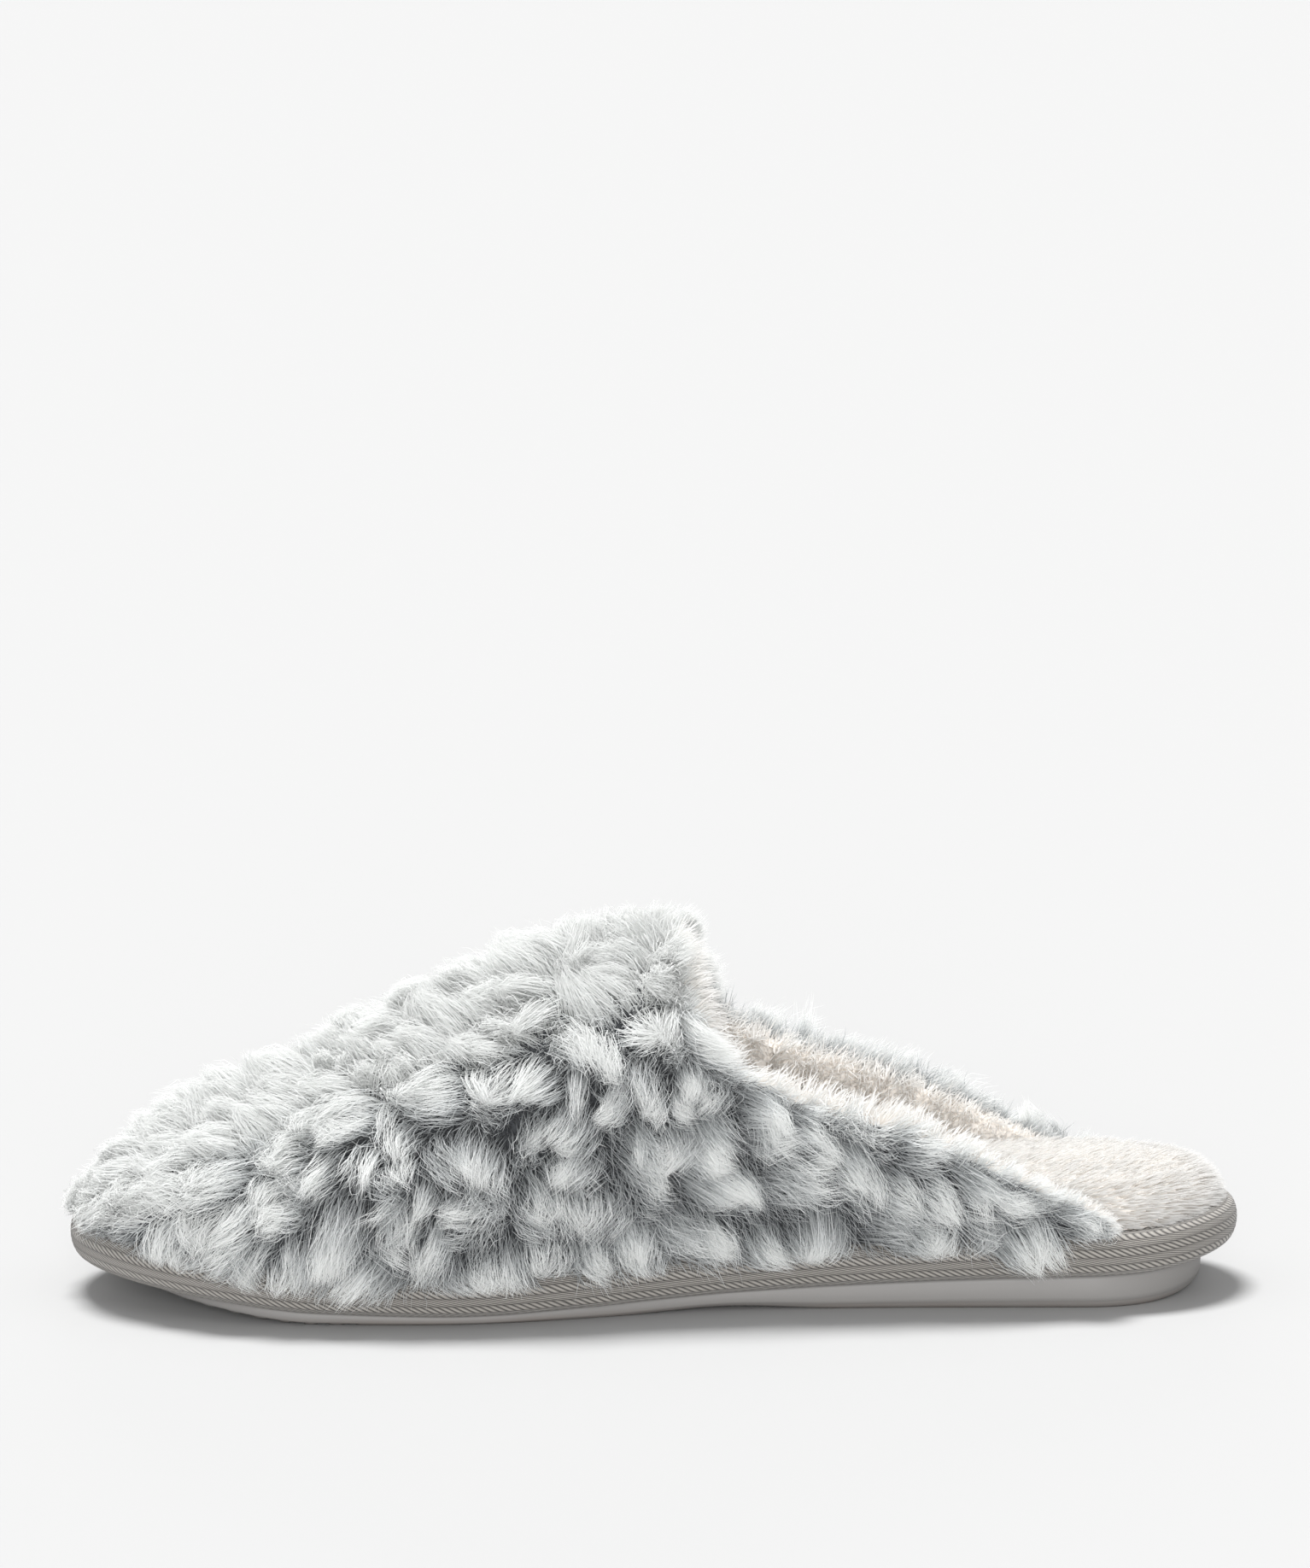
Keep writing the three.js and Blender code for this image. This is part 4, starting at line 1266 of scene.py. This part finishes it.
def sole_rings():
    setback = sole_setback(ring_at)
    toe_zone = fade(ring_at, 0.74, 0.755)
    rows = []
    for inset, share, groove, toe_groove in LEVELS:
        ring = outline + inward * (setback + inset)[:, None]
        low = tread(ring[:, 0])
        high = under(ring[:, 0]) - CLEARANCE
        cut = groove + (toe_groove - groove) * toe_zone
        z = low + share * (high - low) + cut * lug_groove(ring[:, 0])
        rows.append(np.column_stack([ring, z]))
    return np.stack(rows)


def cap(ring):
    """Closes a ring by faces that run from one side of the shoe to the other."""
    half = AROUND // 2
    k = np.arange(1, half - 1)
    quads = np.stack([ring[k], ring[k + 1], ring[AROUND - k - 1], ring[AROUND - k]], axis=1)
    heel = [ring[0], ring[1], ring[AROUND - 1]]
    toe = [ring[half - 1], ring[half], ring[half + 1]]
    return quads, np.array([heel, toe])


sole_points = sole_rings()
sole_index, sole_walls = ring_faces(*sole_points.shape[:2])
top_faces = [faces[:, ::-1] for faces in cap(sole_index[-1])]
sole_faces = [sole_walls, *cap(sole_index[0]), *top_faces]
print("sole:", round(float(np.ptp(sole_points[..., 0]))), "mm long")

# %% [markdown]
# Moulded foam rubber is matt with a fine grain, and it picks up a little grime low
# down. It is white in the hand, but its colour here is the grey that it shows in its
# shade: painted shade, which the even light of the studio would otherwise lift to white.
# The grain is half a millimetre wide and shows only as softer gloss.

# %% Moulded foam rubber
GRAIN_MM = 0.5
CLOUD_MM = 18
GRIME_HEIGHT = 2.2


def rubber_material(name, code, grime):
    """Foam rubber with grime that fades out at GRIME_HEIGHT over the floor."""
    material, tree, shader = new_material(name, {"Roughness": 0.55, "IOR": 1.5})
    place = add_node(tree, "ShaderNodeTexCoord")
    part = add_node(tree, "ShaderNodeSeparateXYZ", links={0: place.outputs["Object"]})
    cloud = add_node(
        tree, "ShaderNodeTexNoise", {"Scale": 1 / (CLOUD_MM * MM), "Detail": 4.0},
        {"Vector": place.outputs["Object"]},
    )
    low_down = add_node(
        tree, "ShaderNodeMapRange",
        {"From Min": 0.0, "From Max": GRIME_HEIGHT * MM, "To Min": 0.7, "To Max": 0.0},
        {"Value": part.outputs["Z"]},
    )
    amount = add_node(
        tree, "ShaderNodeMath", {"operation": "MULTIPLY"},
        {0: cloud.outputs[0], 1: low_down.outputs[0]},
    )
    colour = add_node(
        tree, "ShaderNodeMix",
        {"data_type": "RGBA", 6: hex_colour(code), 7: hex_colour(grime)},
        {0: amount.outputs[0]},
    )
    tree.links.new(colour.outputs[2], shader.inputs["Base Color"])
    grain = add_node(
        tree, "ShaderNodeTexNoise", {"Scale": 1 / (GRAIN_MM * MM), "Detail": 3.0},
        {"Vector": place.outputs["Object"]},
    )
    relief = add_node(
        tree, "ShaderNodeBump", {"Strength": 0.15, "Distance": 0.05 * MM},
        {"Height": grain.outputs[0]},
    )
    tree.links.new(relief.outputs["Normal"], shader.inputs["Normal"])
    return material


# the grey base is painted shade for a white sole; the brown low down is grime
foam_rubber = rubber_material("white foam rubber", "#817f7d", "#6a594c")
sole_piece = add_mesh("moulded_sole", sole_points, sole_faces, foam_rubber)
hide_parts("outsole")

# %% [markdown]
# The slipper is photographed on a white floor under a broad soft light from above, so
# the shadow is a dark line under the sole that fades within a finger's width. Three
# soft suns do this: one overhead, one from the camera's side for the wall of the sole
# and a weak one from behind for the rim of the pile. The floor is grey paint, which
# comes out just below white in this much light.

# %% Floor and light
FLOOR_SIZE = 60.0
ROOM_LIGHT = 0.55


def floor():
    half = FLOOR_SIZE / 2
    mesh = bpy.data.meshes.new("floor")
    corners = [(-half, -half, 0), (half, -half, 0), (half, half, 0), (-half, half, 0)]
    mesh.from_pydata(corners, [], [(0, 1, 2, 3)])
    material, _, _ = new_material("white studio floor", {
        "Base Color": hex_colour("#b0b0b0"), "Roughness": 0.9, "Specular IOR Level": 0.0,
    })
    mesh.materials.append(material)
    piece = bpy.data.objects.new("floor", mesh)
    bpy.context.scene.collection.objects.link(piece)


floor()

world = bpy.data.worlds.new("white studio")
world.use_nodes = True
world.node_tree.nodes["Background"].inputs["Color"].default_value = (1, 1, 1, 1)
world.node_tree.nodes["Background"].inputs["Strength"].default_value = ROOM_LIGHT
bpy.context.scene.world = world


def softbox(name, energy, width, tilt_x, tilt_y):
    """A sun as wide as a softbox looks from the floor, turned by degrees."""
    light = bpy.data.lights.new(name, "SUN")
    light.energy = energy
    light.angle = math.radians(width)
    piece = bpy.data.objects.new(name, light)
    piece.rotation_euler = (math.radians(tilt_x), math.radians(tilt_y), 0)
    bpy.context.scene.collection.objects.link(piece)
    print(f"{name}: {energy} W/m2, {width} degrees wide")


softbox("overhead softbox", energy=4.5, width=22, tilt_x=-13, tilt_y=-9)
softbox("camera side softbox", energy=2.9, width=30, tilt_x=80, tilt_y=0)
softbox("back fill", energy=0.8, width=24, tilt_x=-82, tilt_y=0)
bpy.context.scene.view_settings.view_transform = "Standard"

# %% [markdown]
# The photograph is taken from the side, from about 12 degrees above, with a long lens.
# The camera looks a little above the slipper, which puts it low in the frame. Rows
# and sizes in pixels are counted in a picture of 1534 by 1836.

# %% Camera
IMAGE_HEIGHT = 1836
PIXELS_PER_MM = 5.24
CAMERA_DISTANCE = 1450.0
CAMERA_LIFT = math.radians(12)
AIM_ROW = 1330
FLOOR_ROW = 1498

camera = bpy.data.cameras.new("camera")
camera.sensor_width = 36.0
camera.lens = PIXELS_PER_MM * CAMERA_DISTANCE * camera.sensor_width / IMAGE_HEIGHT
camera.clip_end = 50.0
camera_object = bpy.data.objects.new("camera", camera)
bpy.context.scene.collection.objects.link(camera_object)
aim_height = (FLOOR_ROW - AIM_ROW) / PIXELS_PER_MM / math.cos(CAMERA_LIFT)
aim = Vector((place_at(0.5), 0, aim_height))
back = Vector((0, -math.cos(CAMERA_LIFT), math.sin(CAMERA_LIFT)))
camera_object.location = (aim + back * CAMERA_DISTANCE) * MM
drop = math.atan((AIM_ROW - IMAGE_HEIGHT / 2) / (PIXELS_PER_MM * CAMERA_DISTANCE))
camera_object.rotation_euler = (math.pi / 2 - CAMERA_LIFT + drop, 0, 0)
bpy.context.scene.camera = camera_object
print("lens:", round(camera.lens, 1), "mm")
